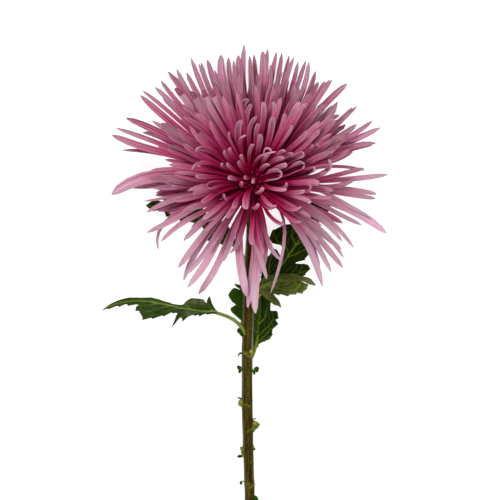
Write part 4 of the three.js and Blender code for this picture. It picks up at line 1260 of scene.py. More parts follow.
# %% The tube that opens towards the front
# One floret above the eye stands up and shows its open end: a pale lip round a hole painted dark as shade.
TUBE_FOOT = Vector((2.5, 6.5, 2.0))
TUBE_END = Vector((6.7, 15.9, 16.5))
TUBE_LOOKS = Vector((0.12, 0.1, 1.0))
# Distance from its axis and share of the way from foot to end, out over the lip and back down inside,
# and the share of a floret's length that its colour is taken from: near 0 inside, the near black of a
# floret's foot, as painted shade of the hole.
TUBE_PROFILE = [
    (0, 0.0, 0.1), (1.0, 0.0, 0.1), (1.1, 0.3, 0.3), (1.3, 0.6, 0.55), (1.55, 0.85, 0.8), (1.9, 0.96, 0.95),
    (2.05, 1.0, 1.0), (1.9, 1.02, 1.0), (1.55, 0.98, 0.9), (1.2, 0.9, 0.1), (1.0, 0.75, 0.0), (0.8, 0.5, 0.0),
    (0, 0.5, 0.0),
]
TUBE_SIDES = 20


def open_tube():
    """The tube: turned upright, then bent from its foot to its end."""
    upright = [(r, h) for r, h, _ in TUBE_PROFILE]
    mesh = turned("floret_tube", upright, TUBE_SIDES, ribs=3, rib_height=0.22, frame=Matrix())
    looks = TUBE_LOOKS.normalized()
    side = looks.cross(Vector((-1, 0.6, 0))).normalized()
    other = looks.cross(side)
    colours = []
    for k, v in enumerate(mesh.vertices):
        row = 0 if k == 0 else min(1 + (k - 1) // TUBE_SIDES, len(TUBE_PROFILE) - 1)
        x, y, h = v.co
        bend = mix(h, h * h, 0.5)
        centre = TUBE_FOOT + (TUBE_END - TUBE_FOOT) * h
        centre += (TUBE_END - TUBE_FOOT).cross(looks).cross(looks) * (0.15 * (bend - h))
        v.co = LAID @ (centre + side * x * 1.12 + other * y)
        # Inside the tube the colour comes from a floret's foot: painted shade of the hole.
        colours.append(TUBE_PROFILE[row][2])
    piece = finished("floret_tube", mesh, petal_skin)
    fixed = {"age": 0.3, "shade": 0.5, "pale": 0.5, "ripe": 1.0, "upper": -1.0}
    write_numbers(mesh, {"along": colours, **{k: [v] * len(colours) for k, v in fixed.items()}})
    return piece


tube = open_tube()
print("tube of", len(tube.data.polygons), "faces")

# %% [markdown]
# ## The involucre
#
# Below the receptacle sits the green cup that once was the outside of the bud, clad in overlapping
# bracts with thin brown papery edges. Only the back and the sides of the bloom show it. One bract is a
# flat box of about a hundred faces bent into shape, and Geometry Nodes set rings of them round the cup.
# Copies placed by hand would be as many objects as there are bracts.

# %% Green skins
def green_material(name, stops, roughness, gloss, fuzz):
    """Plant skin: a colour by noise, pores, and a soft sheen from fine hairs."""
    made, tree, shader = material(name, {
        "Roughness": roughness, "Specular IOR Level": gloss, "Sheen Weight": fuzz, "Sheen Roughness": 0.5})
    spot = on_object(tree)
    plug(tree, colour_ramp(tree, noise(tree, spot, 260.0, 3.0), stops), shader.inputs["Base Color"])
    emboss(tree, shader, 0.25, 0.0002, noise(tree, spot, 2500.0, 2.0))
    return made


cup_skin = green_material(
    "cup_skin", [(0.3, (0.09, 0.14, 0.03)), (0.7, (0.15, 0.22, 0.05))], 0.6, 0.5, 0.3)

BRACT_EDGE = (0.30, 0.20, 0.10, 1)
BRACT_SHADE = (0.7, 0.75, 0.6, 1)  # what its fibres multiply the colour by


def bract_material():
    """Green, paler at its foot, with fibres and a thin brown edge."""
    made, tree, shader = material("bract_skin", {"Roughness": 0.6, "Sheen Weight": 0.25})
    across, along = mark(tree, "across"), mark(tree, "along")
    green = colour_ramp(tree, along, [
        (0.0, (0.20, 0.28, 0.09)), (0.6, (0.11, 0.18, 0.04)), (1.0, (0.09, 0.10, 0.03))])
    edge = ramp_from(tree, calc(tree, "ABSOLUTE", across), 0.62, 0.95)
    colour = mix_colour(tree, edge, green, BRACT_EDGE)
    fine, _ = streaks(tree, vector(tree, across, along), 12.0, 2.0)
    colour = mix_colour(tree, fine, darkened(tree, colour, BRACT_SHADE), colour)
    plug(tree, colour, shader.inputs["Base Color"])
    emboss(tree, shader, 0.4, 0.0003, fine)
    return made


bract_skin = bract_material()
print("bract skin:", len(bract_skin.node_tree.nodes), "nodes")

# %% The cup
CUP_BACK = 7.4  # level of its underside behind the heart
CUP_PROFILE = [
    (0, -CUP_BACK), (2.4, -CUP_BACK), (3.6, -7.3), (5.4, -7.1), (7.6, -6.6), (9.2, -5.9), (10.3, -5.1),
    (11.0, -4.2), (11.1, -3.6), (10.7, -3.0), (9.4, -2.6), (6.0, -2.6), (0, -2.6),
]
cup = finished("involucre_cup", turned("involucre_cup", CUP_PROFILE, 60, ribs=15, rib_height=0.12), cup_skin)
print("cup of", triangles(cup), "triangles")

# %% Rings of bracts
BRACT_OUTLINE = [(0, 0.55), (0.3, 0.95), (0.5, 1.0), (0.75, 0.7), (0.92, 0.35), (1, 0.05)]
BRACT_JITTER = 0.14  # how far a bract turns aside or leans on its own, in radians


def bract_tree():
    """A ring of bent, cupped bracts round the axis Z, one for each point of a circle."""
    tree, given, ending = shape_tree("Ring of bracts", {
        "Count": ("Int", 10),
        "Ring Radius": ("Float", 5 * MM),
        "Height": ("Float", 0.0),
        "Length": ("Float", 7 * MM),
        "Half Width": ("Float", 1.6 * MM),
        "Lean": ("Float", 0.3),
        "Thickness": ("Float", 0.4 * MM),
        "Cup": ("Float", 0.35),
        "Bend": ("Float", 0.15),
        "Seed": ("Int", 1),
        "Finish": ("Material", None),
    })
    box = result(tree, "GeometryNodeMeshCube", {
        "Size": (1, 1, 1), "Vertices X": 7, "Vertices Y": 9, "Vertices Z": 2})
    x, y, z = parts_of(tree, own_place(tree))
    box = store(tree, box, "along", calc(tree, "ADD", y, 0.5))
    box = store(tree, box, "across", times(tree, x, 2.0))
    along, across = read(tree, "along"), read(tree, "across")
    wide = times(tree, across, given["Half Width"], curve_of(tree, along, BRACT_OUTLINE))
    cupped = times(tree, wide, across, given["Cup"])
    bent = times(tree, along, along, given["Bend"], given["Length"])
    thin = calc(tree, "MULTIPLY_ADD", calc(tree, "ABSOLUTE", across), -0.7, 1.0)
    thick = times(tree, z, given["Thickness"], thin)
    raised = calc(tree, "ADD", thick, calc(tree, "ADD", cupped, bent))
    spot = vector(tree, wide, times(tree, along, given["Length"]), raised)
    bract = result(tree, "GeometryNodeSetPosition", {0: box, "Position": spot})

    ring = result(tree, "GeometryNodeMeshCircle", {
        "Vertices": given["Count"], "Radius": given["Ring Radius"]})
    index = result(tree, "GeometryNodeInputIndex")
    step = calc(tree, "DIVIDE", 2 * math.pi, given["Count"])
    jitter = drawn(tree, -BRACT_JITTER, BRACT_JITTER, given["Seed"])
    clock = calc(tree, "ADD", calc(tree, "MULTIPLY_ADD", index, step, -math.pi / 2), jitter)
    stance = vector(tree, calc(tree, "ADD", given["Lean"], jitter), 0.0, clock)
    level = vector(tree, 0.0, 0.0, given["Height"])
    ring = result(tree, "GeometryNodeSetPosition", {0: ring, "Offset": level})
    size = drawn(tree, 0.88, 1.1, given["Seed"])
    copies = result(tree, "GeometryNodeInstanceOnPoints", {
        "Points": ring, "Instance": bract, "Rotation": stance, "Scale": size})
    close_tree(tree, copies, given["Finish"], ending)
    return tree


# %% Make the rings
bract_ring = bract_tree()
# Ring radius, height along the axis, length, half width and lean of each ring, from the stem outwards.
BRACT_ROWS = [
    (3.6, -7.3, 8.0, 1.7, 4),
    (5.2, -7.0, 7.6, 1.8, 10),
    (6.8, -6.5, 6.6, 1.7, 16),
    (8.4, -5.8, 5.0, 1.5, 30),
]
BRACTS_A_RING = 12
bract_rings = []
for ring, (radius, height, length, half_width, lean) in enumerate(BRACT_ROWS):
    name = f"bracts_{ring + 1}"
    piece = show(name, bpy.data.meshes.new(name))
    run_tree(
        piece, bract_ring, count=BRACTS_A_RING, ring_radius=radius * MM, height=height * MM,
        length=length * MM, half_width=half_width * MM, lean=math.radians(lean), seed=ring + 3,
        finish=bract_skin,
    )
    twist = Matrix.Rotation(math.pi / BRACTS_A_RING * (ring % 2), 4, "Z")
    piece.data.transform(HEAD_FRAME @ Matrix.Scale(1 / MM, 4) @ twist)
    bract_rings.append(piece)
print(len(bract_rings), "rings of", BRACTS_A_RING, "bracts")

# %% [markdown]
# ## The stem
#
# The stem is green wood: an angular rod with low ribs, brown and olive on the outside, grey with short
# hairs and a silver sheen painted at its edges, swollen where leaves stood, with torn stubs of stipules
# there. It leaves the cup along the bloom's axis and bends into line with the table. A sweep along its
# line gives the rod and its ribs, as with the florets. The swellings are then pulled out of the same
# skin, so that bark runs over them without a seam, which a ball stuck onto the rod would show.

# %% The line of the stem
STEM_DEPTH = -14.6  # level of its axis behind the heart
NECK_TURN = math.pi / 2 - HEAD_TILT
NECK_STEPS = 5
CUP_GAP = 0.3
neck_top = AXIS * (-CUP_BACK - CUP_GAP)
neck_bend = (neck_top.z - STEM_DEPTH) / (1 - math.cos(NECK_TURN))

# Right and up of the axis, and the radius, from the neck to the cut end.
BELOW_NECK = [
    (-1.2, -24, 2.7), (-1.7, -33, 2.7), (-2.1, -43, 2.8), (-2.4, -51, 2.85), (-2.7, -58, 2.85),
    (-2.9, -66, 2.9), (-3.0, -72, 2.95), (-3.1, -76, 2.85), (-3.2, -79.5, 2.85), (-3.3, -82.5, 2.9),
    (-3.4, -86, 2.8), (-3.5, -94, 2.7), (-3.5, -103, 2.7), (-3.5, -109, 2.8), (-3.4, -114, 2.7),
    (-3.2, -121, 2.75), (-3.1, -127, 2.65), (-3.0, -133, 2.7), (-2.7, -139, 2.55), (-2.5, -147, 2.5),
    (-2.3, -150.5, 2.65), (-2.2, -154, 2.5), (-2.1, -162, 2.5), (-2.0, -169, 2.55),
]

stem_rows = []
for k in range(NECK_STEPS + 1):
    share = k / NECK_STEPS
    left = NECK_TURN * (1 - share)
    stem_rows.append((
        -0.9 * share,
        neck_top.y - neck_bend * (math.sin(NECK_TURN) - math.sin(left)),
        STEM_DEPTH + neck_bend * (1 - math.cos(left)),
        mix(3.3, 2.75, share),
    ))
stem_rows += [(x, y, STEM_DEPTH, r) for x, y, r in BELOW_NECK]
print("stem line of", len(stem_rows), "rows,", round(stem_rows[0][1] - stem_rows[-1][1]), "mm long")

# %% Smooth lines through rows
def smooth_rows(rows, per_row):
    """Points of a smooth curve through rows of numbers, some to each row (a Catmull-Rom spline)."""
    rows = np.asarray(rows, float)
    padded = np.vstack([2 * rows[0] - rows[1], rows, 2 * rows[-1] - rows[-2]])
    made = []
    for k in range(len(rows) - 1):
        a, b, c, d = padded[k : k + 4]
        for t in np.arange(per_row) / per_row:
            made.append(0.5 * (
                2 * b + (c - a) * t + (2 * a - 5 * b + 4 * c - d) * t**2 + (3 * b - a - 3 * c + d) * t**3
            ))
    made.append(rows[-1])
    return np.array(made)


def path_lines(name, paths):
    """Rows of (x, y, z, radius) as lines of one mesh, with attributes radius and down (mm)."""
    points, edges, radius, down = [], [], [], []
    for path in paths:
        start = len(points)
        run = 0.0
        for k, (x, y, z, r) in enumerate(path):
            if k:
                run += math.dist(path[k - 1][:3], path[k][:3])
            points.append(LAID @ Vector((x, y, z)))
            radius.append(r * MM)
            down.append(run)
        edges += [(k, k + 1) for k in range(start, len(points) - 1)]
    mesh = bpy.data.meshes.new(name)
    mesh.from_pydata(points, edges, [])
    write_numbers(mesh, {"radius": radius, "down": down})
    return show(name, mesh)


stem_path = smooth_rows(stem_rows, 14)
print("smooth stem line of", len(stem_path), "points")

# %% The stalk sweep
def stalk_tree():
    """Round or ribbed rods along lines, thick as their radius attribute says."""
    tree, given, ending = shape_tree("Stalks", {
        "Sides": ("Int", 12),
        "Ribs": ("Float", 6.0),
        "Rib Height": ("Float", 0.0),
        "Unevenness": ("Float", 0.0),
        "Finish": ("Material", None),
    })
    line = result(tree, "GeometryNodeMeshToCurve", {0: given["Geometry"]})
    skin = result(tree, "GeometryNodeCurveToMesh", {
        0: line, 1: profile_circle(tree, given["Sides"]), "Scale": read(tree, "radius"), "Fill Caps": True})
    angle = calc(tree, "ARCTAN2", read(tree, "upper"), read(tree, "across"))
    wander = times(tree, calc(tree, "SINE", times(tree, read(tree, "down"), 0.05)), 1.5)
    ribs = calc(tree, "COSINE", calc(tree, "MULTIPLY_ADD", angle, given["Ribs"], wander))
    ribs = times(tree, ribs, given["Rib Height"])
    lumps = calc(tree, "SUBTRACT", noise(tree, own_place(tree), 330.0, 2.0), 0.5)
    lumps = times(tree, lumps, given["Unevenness"])
    push = times(tree, calc(tree, "ADD", ribs, lumps), read(tree, "radius"))
    spot = moved(tree, own_place(tree), result(tree, "GeometryNodeInputNormal"), push)
    skin = result(tree, "GeometryNodeSetPosition", {0: skin, "Position": spot})
    close_tree(tree, skin, given["Finish"], ending)
    return tree


stalks = stalk_tree()
print("stalk tree:", len(stalks.nodes), "nodes")

# %% [markdown]
# ## The bark of the stem
#
# Four things make the colour: brown and olive streaks along the stem, a silver cast at its edges, which
# is painted sheen of the hairs where the light grazes them, green swellings with a tan torn face where
# leaves came off, and a pale cut end. The streaks follow the sweep's own coordinates, round and down the
# stem, so they bend with the neck.

# %% Bark
BARK_SHADE = (0.36, 0.3, 0.3, 1)  # what the dark streaks multiply the colour by
# Silver: painted sheen of the hairs at the stem's edges.
SILVER_SHEEN = (0.27, 0.24, 0.22, 1)
TORN_WOOD = (0.46, 0.27, 0.14, 1)
CUT_RADIUS = 2.6


def bark_material():
    """Streaks of brown and olive, a painted silver sheen at the edges, and green swellings with torn faces.
    """
    made, tree, shader = material("stem_bark", {
        "Roughness": 0.6, "Specular IOR Level": 0.05, "Sheen Weight": 0.1, "Sheen Roughness": 0.15})
    down = mark(tree, "down")
    round_stem = vector(tree, mark(tree, "across"), times(tree, down, 0.05), mark(tree, "upper"))
    fine, broad = streaks(tree, round_stem, 5.0, 2.5)
    olive = colour_ramp(tree, broad, [
        (0.32, (0.052, 0.024, 0.002)), (0.45, (0.062, 0.044, 0.002)), (0.62, (0.086, 0.074, 0.002))])
    patches = noise(tree, on_object(tree), 900.0, 3.0)
    darker = darkened(tree, olive, BARK_SHADE)
    colour = mix_colour(tree, ramp_from(tree, fine, 0.35, 0.6), darker, olive)
    colour = mix_colour(tree, ramp_from(tree, patches, 0.48, 0.6, 0.0, 0.8), colour, darker)
    # Painted sheen: the hairs catching the light along the stem's left and right edges, on the right only
    # near the top.
    edge = mark(tree, "edge")
    higher = ramp_from(tree, down, 84.0, 98.0, 1.0, 0.0)
    silver_sheen = times(tree, ramp_from(tree, edge, 0.62, 0.9), higher)
    silver_sheen = calc(tree, "MAXIMUM", ramp_from(tree, edge, -0.9, -0.6, 1.0, 0.0), silver_sheen)
    silver_sheen = times(tree, silver_sheen, ramp_from(tree, broad, 0.42, 0.56, 0.9, 0.1))
    colour = mix_colour(tree, silver_sheen, colour, SILVER_SHEEN)
    green = colour_ramp(tree, patches, [(0.35, (0.075, 0.08, 0.003)), (0.62, (0.22, 0.23, 0.03))])
    colour = mix_colour(tree, mark(tree, "scar"), colour, green)
    torn = times(tree, mark(tree, "scar_face"), ramp_from(tree, patches, 0.4, 0.55, 1.0, 0.4))
    plug(tree, mix_colour(tree, torn, colour, TORN_WOOD), shader.inputs["Base Color"])
    emboss(tree, shader, 0.6, 0.0004, calc(tree, "MULTIPLY_ADD", patches, 0.6, fine))
    return made


stem_bark = bark_material()


def cut_material(centre):
    """The cut end: pale pith, a greener ring of wood, and a rim of bark."""
    made, tree, shader = material("stem_cut", {"Roughness": 0.7})
    spot = on_object(tree)
    away = place(tree, "ShaderNodeVectorMath", {0: spot, 1: centre}, operation="DISTANCE").outputs["Value"]
    grain = noise(tree, spot, 2600.0, 3.0)
    share = calc(tree, "MULTIPLY_ADD", grain, 0.25, calc(tree, "DIVIDE", away, CUT_RADIUS * MM))
    rings = colour_ramp(tree, calc(tree, "DIVIDE", share, 1.1), [
        (0.32, (0.60, 0.58, 0.38)), (0.55, (0.40, 0.44, 0.17)), (0.86, (0.24, 0.27, 0.06)),
        (1.0, (0.07, 0.06, 0.01))])
    plug(tree, rings, shader.inputs["Base Color"])
    emboss(tree, shader, 0.5, 0.0002, grain)
    return made


stem_cut = cut_material(LAID @ Vector((*stem_rows[-1][:2], STEM_DEPTH)))
print("bark:", len(stem_bark.node_tree.nodes), "nodes")

# %% The swellings of the stem
# Swellings left by shed leaves and buds: place (right, up, in front of the stem's axis), size across,
# along and out, and the size of the torn face as a share of the swelling.
SCARS = [
    (-1.5, -84.1, 2.3, 1.4, 1.3, 0.9, 0.75),
    (-6.0, -69.8, 0.5, 0.9, 1.5, 0.9, 0.7),
    (-6.4, -109.9, 0.9, 1.6, 1.9, 1.4, 0.45),
    (0.4, -120.5, 0.7, 2.1, 1.6, 1.5, 0.5),
    (1.9, -120.8, 0.6, 1.1, 0.9, 1.0, 0.0),
    (0.5, -121.7, 0.5, 1.8, 1.3, 1.3, 0.0),
    (-0.6, -122.9, 0.4, 1.4, 1.7, 1.2, 0.0),
    (-5.5, -134, 0.8, 1.1, 2.4, 1.2, 0.35),
    (-0.7, -132.2, 0.9, 0.9, 1.2, 0.9, 0.0),
    (-2.2, -150.9, 1.7, 1.5, 1.4, 1.1, 0.35),
]
FACE_PLACE = (0.1, 0.2, 0.75)  # middle of a scar's torn face, in shares of the swelling's size
# Low ridges on the stem's front, below the scars: half width, strength, and right and up of their points.
COLLARS = [
    (0.7, 0.8, [(-5.2, -84.4), (-3.9, -85.3), (-2.6, -86.1), (-1.4, -86.0), (-0.6, -85.2)]),
    (0.45, 0.7, [(-6.2, -111.4), (-4.8, -110.7), (-3.4, -110.9), (-2.2, -111.8)]),
    (0.5, 0.7, [(1.2, -122.6), (-0.6, -122.8), (-2.4, -123.8), (-3.0, -124.4)]),
    (0.45, 1.0, [(-1.9, -152.6), (-0.9, -151.8), (0.1, -150.9)]),
    (0.4, 0.9, [(-3.0, -150.4), (-2.5, -151.3)]),
    (0.3, 0.25, [(-4.9, -76.0), (-3.8, -73.6), (-2.4, -72.5), (-1.0, -72.6)]),
]
COLLAR_HEIGHT = 0.22
STEM_SIDES = 44
SCAR_BLEND = 0.5  # width over which a swelling runs out into the stem
SCAR_FADE = 0.6  # height over which a swelling turns from bark to green
FACE_FADE = 0.3  # width over which its torn face begins


def swell(mesh, rows):
    """Moves each point of the stem's skin out from the axis, to where it leaves a swelling."""
    back = LAID.inverted()
    axis_rows = np.asarray(rows)
    order = np.argsort(axis_rows[:, 1])
    ridges = [(half, strength, smooth_rows(points, 6)) for half, strength, points in COLLARS]
    marks = {key: np.zeros(len(mesh.vertices)) for key in ("scar", "scar_face", "edge")}
    for v in mesh.vertices:
        p = back @ v.co
        if p.y > BELOW_NECK[0][1]:
            continue
        centre_x = np.interp(p.y, axis_rows[order, 1], axis_rows[order, 0])
        ray = Vector((p.x - centre_x, 0, p.z - STEM_DEPTH))
        reach = ray.length
        if reach < 1e-6:
            continue
        way = ray / reach
        scar, face = 0.0, 0.0
        for x, y, z, across, along, out, face_size in SCARS:
            half = 1 - ((p.y - y) / along) ** 2
            if half <= 0:
                continue
            cx, cz = x - centre_x, z
            a = (way.x / across) ** 2 + (way.z / out) ** 2
            b = -2 * (way.x * cx / across**2 + way.z * cz / out**2)
            c = (cx / across) ** 2 + (cz / out) ** 2 - half
            inside = b * b - 4 * a * c
            if inside <= 0:
                continue
            leaves = (-b + math.sqrt(inside)) / (2 * a)
            d = leaves - reach
            grown = reach + 0.5 * (d + math.sqrt(d * d + SCAR_BLEND * 0.1))
            if grown > reach and d > -SCAR_BLEND:
                scar = max(scar, clamp(d / SCAR_FADE))
                reach = grown
                spot = ((way.x * reach - cx) / across, (p.y - y) / along, (way.z * reach - cz) / out)
                face = max(face, clamp((face_size - math.dist(spot, FACE_PLACE)) / FACE_FADE))
        for half, strength, line in ridges:
            if way.z > 0 and abs(p.y - line[0][1]) < 8:
                away = np.min(np.hypot(line[:, 0] - p.x, line[:, 1] - p.y))
                ridge = math.exp(-((away / half) ** 2)) * strength
                scar = max(scar, ridge)
                reach += COLLAR_HEIGHT * ridge
        # edge is how far the skin faces left or right; the bark paints its silver sheen by it.
        for key, value in (("scar", scar), ("scar_face", face), ("edge", way.x)):
            marks[key][v.index] = value
        spot = LAID @ Vector((centre_x + way.x * reach, p.y, STEM_DEPTH + way.z * reach))
        v.co = (spot.x, spot.y, max(spot.z, 0.0))
    write_numbers(mesh, marks)


# %% Make the stem
stem_piece = run_tree(
    path_lines("stem_rod", [stem_path]), stalks, sides=STEM_SIDES, ribs=7.0, rib_height=0.035,
    unevenness=0.08, finish=stem_bark,
)
swell(stem_piece.data, stem_rows)
stem_piece.data.materials.append(stem_cut)
for polygon in stem_piece.data.polygons:
    if len(polygon.vertices) > 4:
        polygon.material_index = 1
        polygon.use_smooth = False
print("stem skin:", len(stem_piece.data.vertices), "points")

# %% What shed leaves left on the stem
# Each is a line of points, right, up and in front of the stem's axis, and the radius at its middle. Buds
# are folded green leaflets, stubs are the torn ends of stalks.
BUDS = [
    ([(-6.2, -93.0, 0.9), (-7.4, -92.2, 1.2), (-8.4, -91.3, 1.1)], 1.05),
    ([(-6.4, -92.9, 1.1), (-7.2, -93.9, 1.3), (-7.2, -95.0, 1.1)], 0.8),
    ([(-0.6, -93.4, 0.8), (0.1, -94.6, 1.1), (0.1, -95.7, 1.2)], 0.7),
    ([(0.2, -94.4, 1.0), (0.8, -92.7, 1.3), (1.7, -92.4, 1.2), (1.7, -93.4, 1.2), (1.3, -94.6, 1.2)], 0.85),
    ([(-4.8, -85.8, 0.6), (-6.2, -84.9, 1.0), (-7.4, -85.2, 1.2), (-8.0, -86.6, 1.2)], 0.5),
    ([(-4.2, -76.6, 0.2), (-5.4, -74.8, 0.6), (-6.8, -73.6, 0.8), (-8.4, -74.2, 0.8)], 1.9),
    ([(-6.0, -107.9, 0.9), (-7.4, -107.4, 1.2), (-8.3, -107.1, 1.3)], 0.45),
    ([(-0.8, -118.2, 0.6), (0.3, -117.8, 0.9), (1.0, -118.0, 1.0)], 0.35),
    ([(-1.3, -124.1, 2.4), (-2.0, -124.4, 2.7), (-2.7, -124.2, 2.5)], 0.7),
    ([(-6.0, -136.6, 0.7), (-7.2, -136.7, 0.9), (-8.4, -136.9, 0.9)], 0.8),
    ([(-0.9, -132.9, 0.7), (0.1, -133.3, 0.9), (0.5, -132.5, 1.0)], 0.5),
    ([(-6.2, -149.4, 1.0), (-6.5, -150.0, 1.1), (-6.5, -151.0, 1.0)], 0.8),
    ([(0.1, -156.8, 0.4), (0.9, -158.0, 0.6), (1.2, -159.6, 0.7), (1.1, -161.6, 0.7)], 1.2),
]
STUBS = [
    ([(-5.2, -137.0, 0.7), (-5.9, -134.4, 0.8), (-6.7, -131.9, 0.9)], 0.75),
    ([(-4.6, -108.2, 1.2), (-6.0, -108.3, 1.6), (-7.0, -108.9, 1.5)], 0.35),
    ([(-4.4, -150.0, 0.7), (-5.4, -149.2, 0.9), (-6.3, -149.3, 1.0)], 0.35),
    ([(-5.4, -93.2, 0.7), (-6.6, -93.6, 1.0)], 0.5),
    ([(-1.0, -92.4, 0.7), (-0.5, -94.4, 1.0)], 0.5),
]
STUB_STEPS = 5  # points to each stretch

bud_skin = green_material(
    "bud_skin", [(0.4, (0.005, 0.026, 0.001)), (0.6, (0.025, 0.075, 0.002)), (0.75, (0.08, 0.17, 0.006))],
    0.6, 0.05, 0.0)
stub_skin = green_material(
    "stub_skin", [(0.35, (0.10, 0.12, 0.015)), (0.7, (0.22, 0.25, 0.06))], 0.65, 0.05, 0.1)


def bit_path(points, radius, blunt):
    """A smooth line in front of the stem's axis; thick at its middle, or all the way if it is blunt."""
    rows = smooth_rows(points, STUB_STEPS)
    last = len(rows) - 1
    path = []
    for k, (x, y, z) in enumerate(rows):
        t = k / last
        swollen = 0.35 + 0.65 * math.sin(math.pi * min(1.0, 0.15 + t * 0.8))
        r = radius * (mix(1.0, 0.7, t) if blunt else swollen)
        if k == last:
            r *= 0.5
        path.append((x, y, STEM_DEPTH + z, r))
    return path


stem_buds = run_tree(
    path_lines("stem_buds", [bit_path(points, r, False) for points, r in BUDS]), stalks,
    sides=12, ribs=2.0, rib_height=0.28, unevenness=0.7, finish=bud_skin,
)
stem_stubs = run_tree(
    path_lines("stem_stubs", [bit_path(points, r, True) for points, r in STUBS]), stalks,
    sides=12, ribs=3.0, rib_height=0.15, unevenness=0.5, finish=stub_skin,
)
print(len(BUDS), "buds,", len(STUBS), "stubs")

# %% [markdown]
# Short pale hairs cover the green wood and, with the sheen painted into the bark, give the stem its
# silvery edge. Each is a cone of three sides, set on the skin at seeded points and turned out of it. A
# shader alone can whiten the edge, but it shows no single hair against the light.

# %% Hairs of the stem
def hair_tree():
    """Thin cones at seeded points of a skin, leaning out of it each in its own way."""
    tree, given, ending = shape_tree("Hairs", {
        "Density": ("Float", 900000.0),
        "Length": ("Float", 0.75 * MM),
        "Radius": ("Float", 0.025 * MM),
        "Lean": ("Float", 0.5),
        "Seed": ("Int", 5),
        "Finish": ("Material", None),
    })
    feet = place(tree, "GeometryNodeDistributePointsOnFaces", {
        "Mesh": given["Geometry"], "Density": given["Density"], "Seed": given["Seed"],
    }, distribute_method="RANDOM").outputs
    hair = result(tree, "GeometryNodeMeshCone", {
        "Vertices": 3, "Radius Top": 0.0, "Radius Bottom": given["Radius"], "Depth": given["Length"],
    }, fill_type="NGON")
    aside = result(tree, "FunctionNodeRandomValue", {
        0: (-1.0, -1.0, -1.0), 1: (1.0, 1.0, 1.0), "Seed": given["Seed"]}, data_type="FLOAT_VECTOR")
    way = moved(tree, feet["Normal"], aside, given["Lean"])
    stance = result(tree, "FunctionNodeAlignRotationToVector", {"Vector": way}, axis="Z")
    hairs = result(tree, "GeometryNodeInstanceOnPoints", {
        0: feet["Points"], "Instance": hair, "Rotation": stance,
        "Scale": drawn(tree, 0.5, 1.2, given["Seed"])})
    hairs = result(tree, "GeometryNodeRealizeInstances", {0: hairs})
    spot = off_the_table(tree, own_place(tree))
    hairs = result(tree, "GeometryNodeSetPosition", {0: hairs, "Position": spot})
    close_tree(tree, hairs, given["Finish"], ending)
    return tree


hair_skin, hair_shader_tree, hair_shader = material("hair_skin", {"Roughness": 0.6})
tint = noise(hair_shader_tree, on_object(hair_shader_tree), 900.0, 2.0)
straw = colour_ramp(hair_shader_tree, tint, [(0.4, (0.30, 0.28, 0.15)), (0.6, (0.48, 0.45, 0.30))])
plug(hair_shader_tree, straw, hair_shader.inputs["Base Color"])

hairs = hair_tree()
stem_hairs = show("stem_hairs", stem_piece.data.copy())
run_tree(stem_hairs, hairs, finish=hair_skin)
print("hairs:", triangles(stem_hairs), "triangles")

# %% [markdown]
# ## Leaves
#
# A chrysanthemum leaf is cut into lobes, each with a vein that runs to its point, and the blade swells a
# little between the veins. Its upper side is dark, its underside grey-green with raised veins. The blade
# is a net of points: along the midrib one way, from the midrib to the margin the other. A flat outline
# filled with faces would be quicker, but has no points inside to carry the veins and swellings.

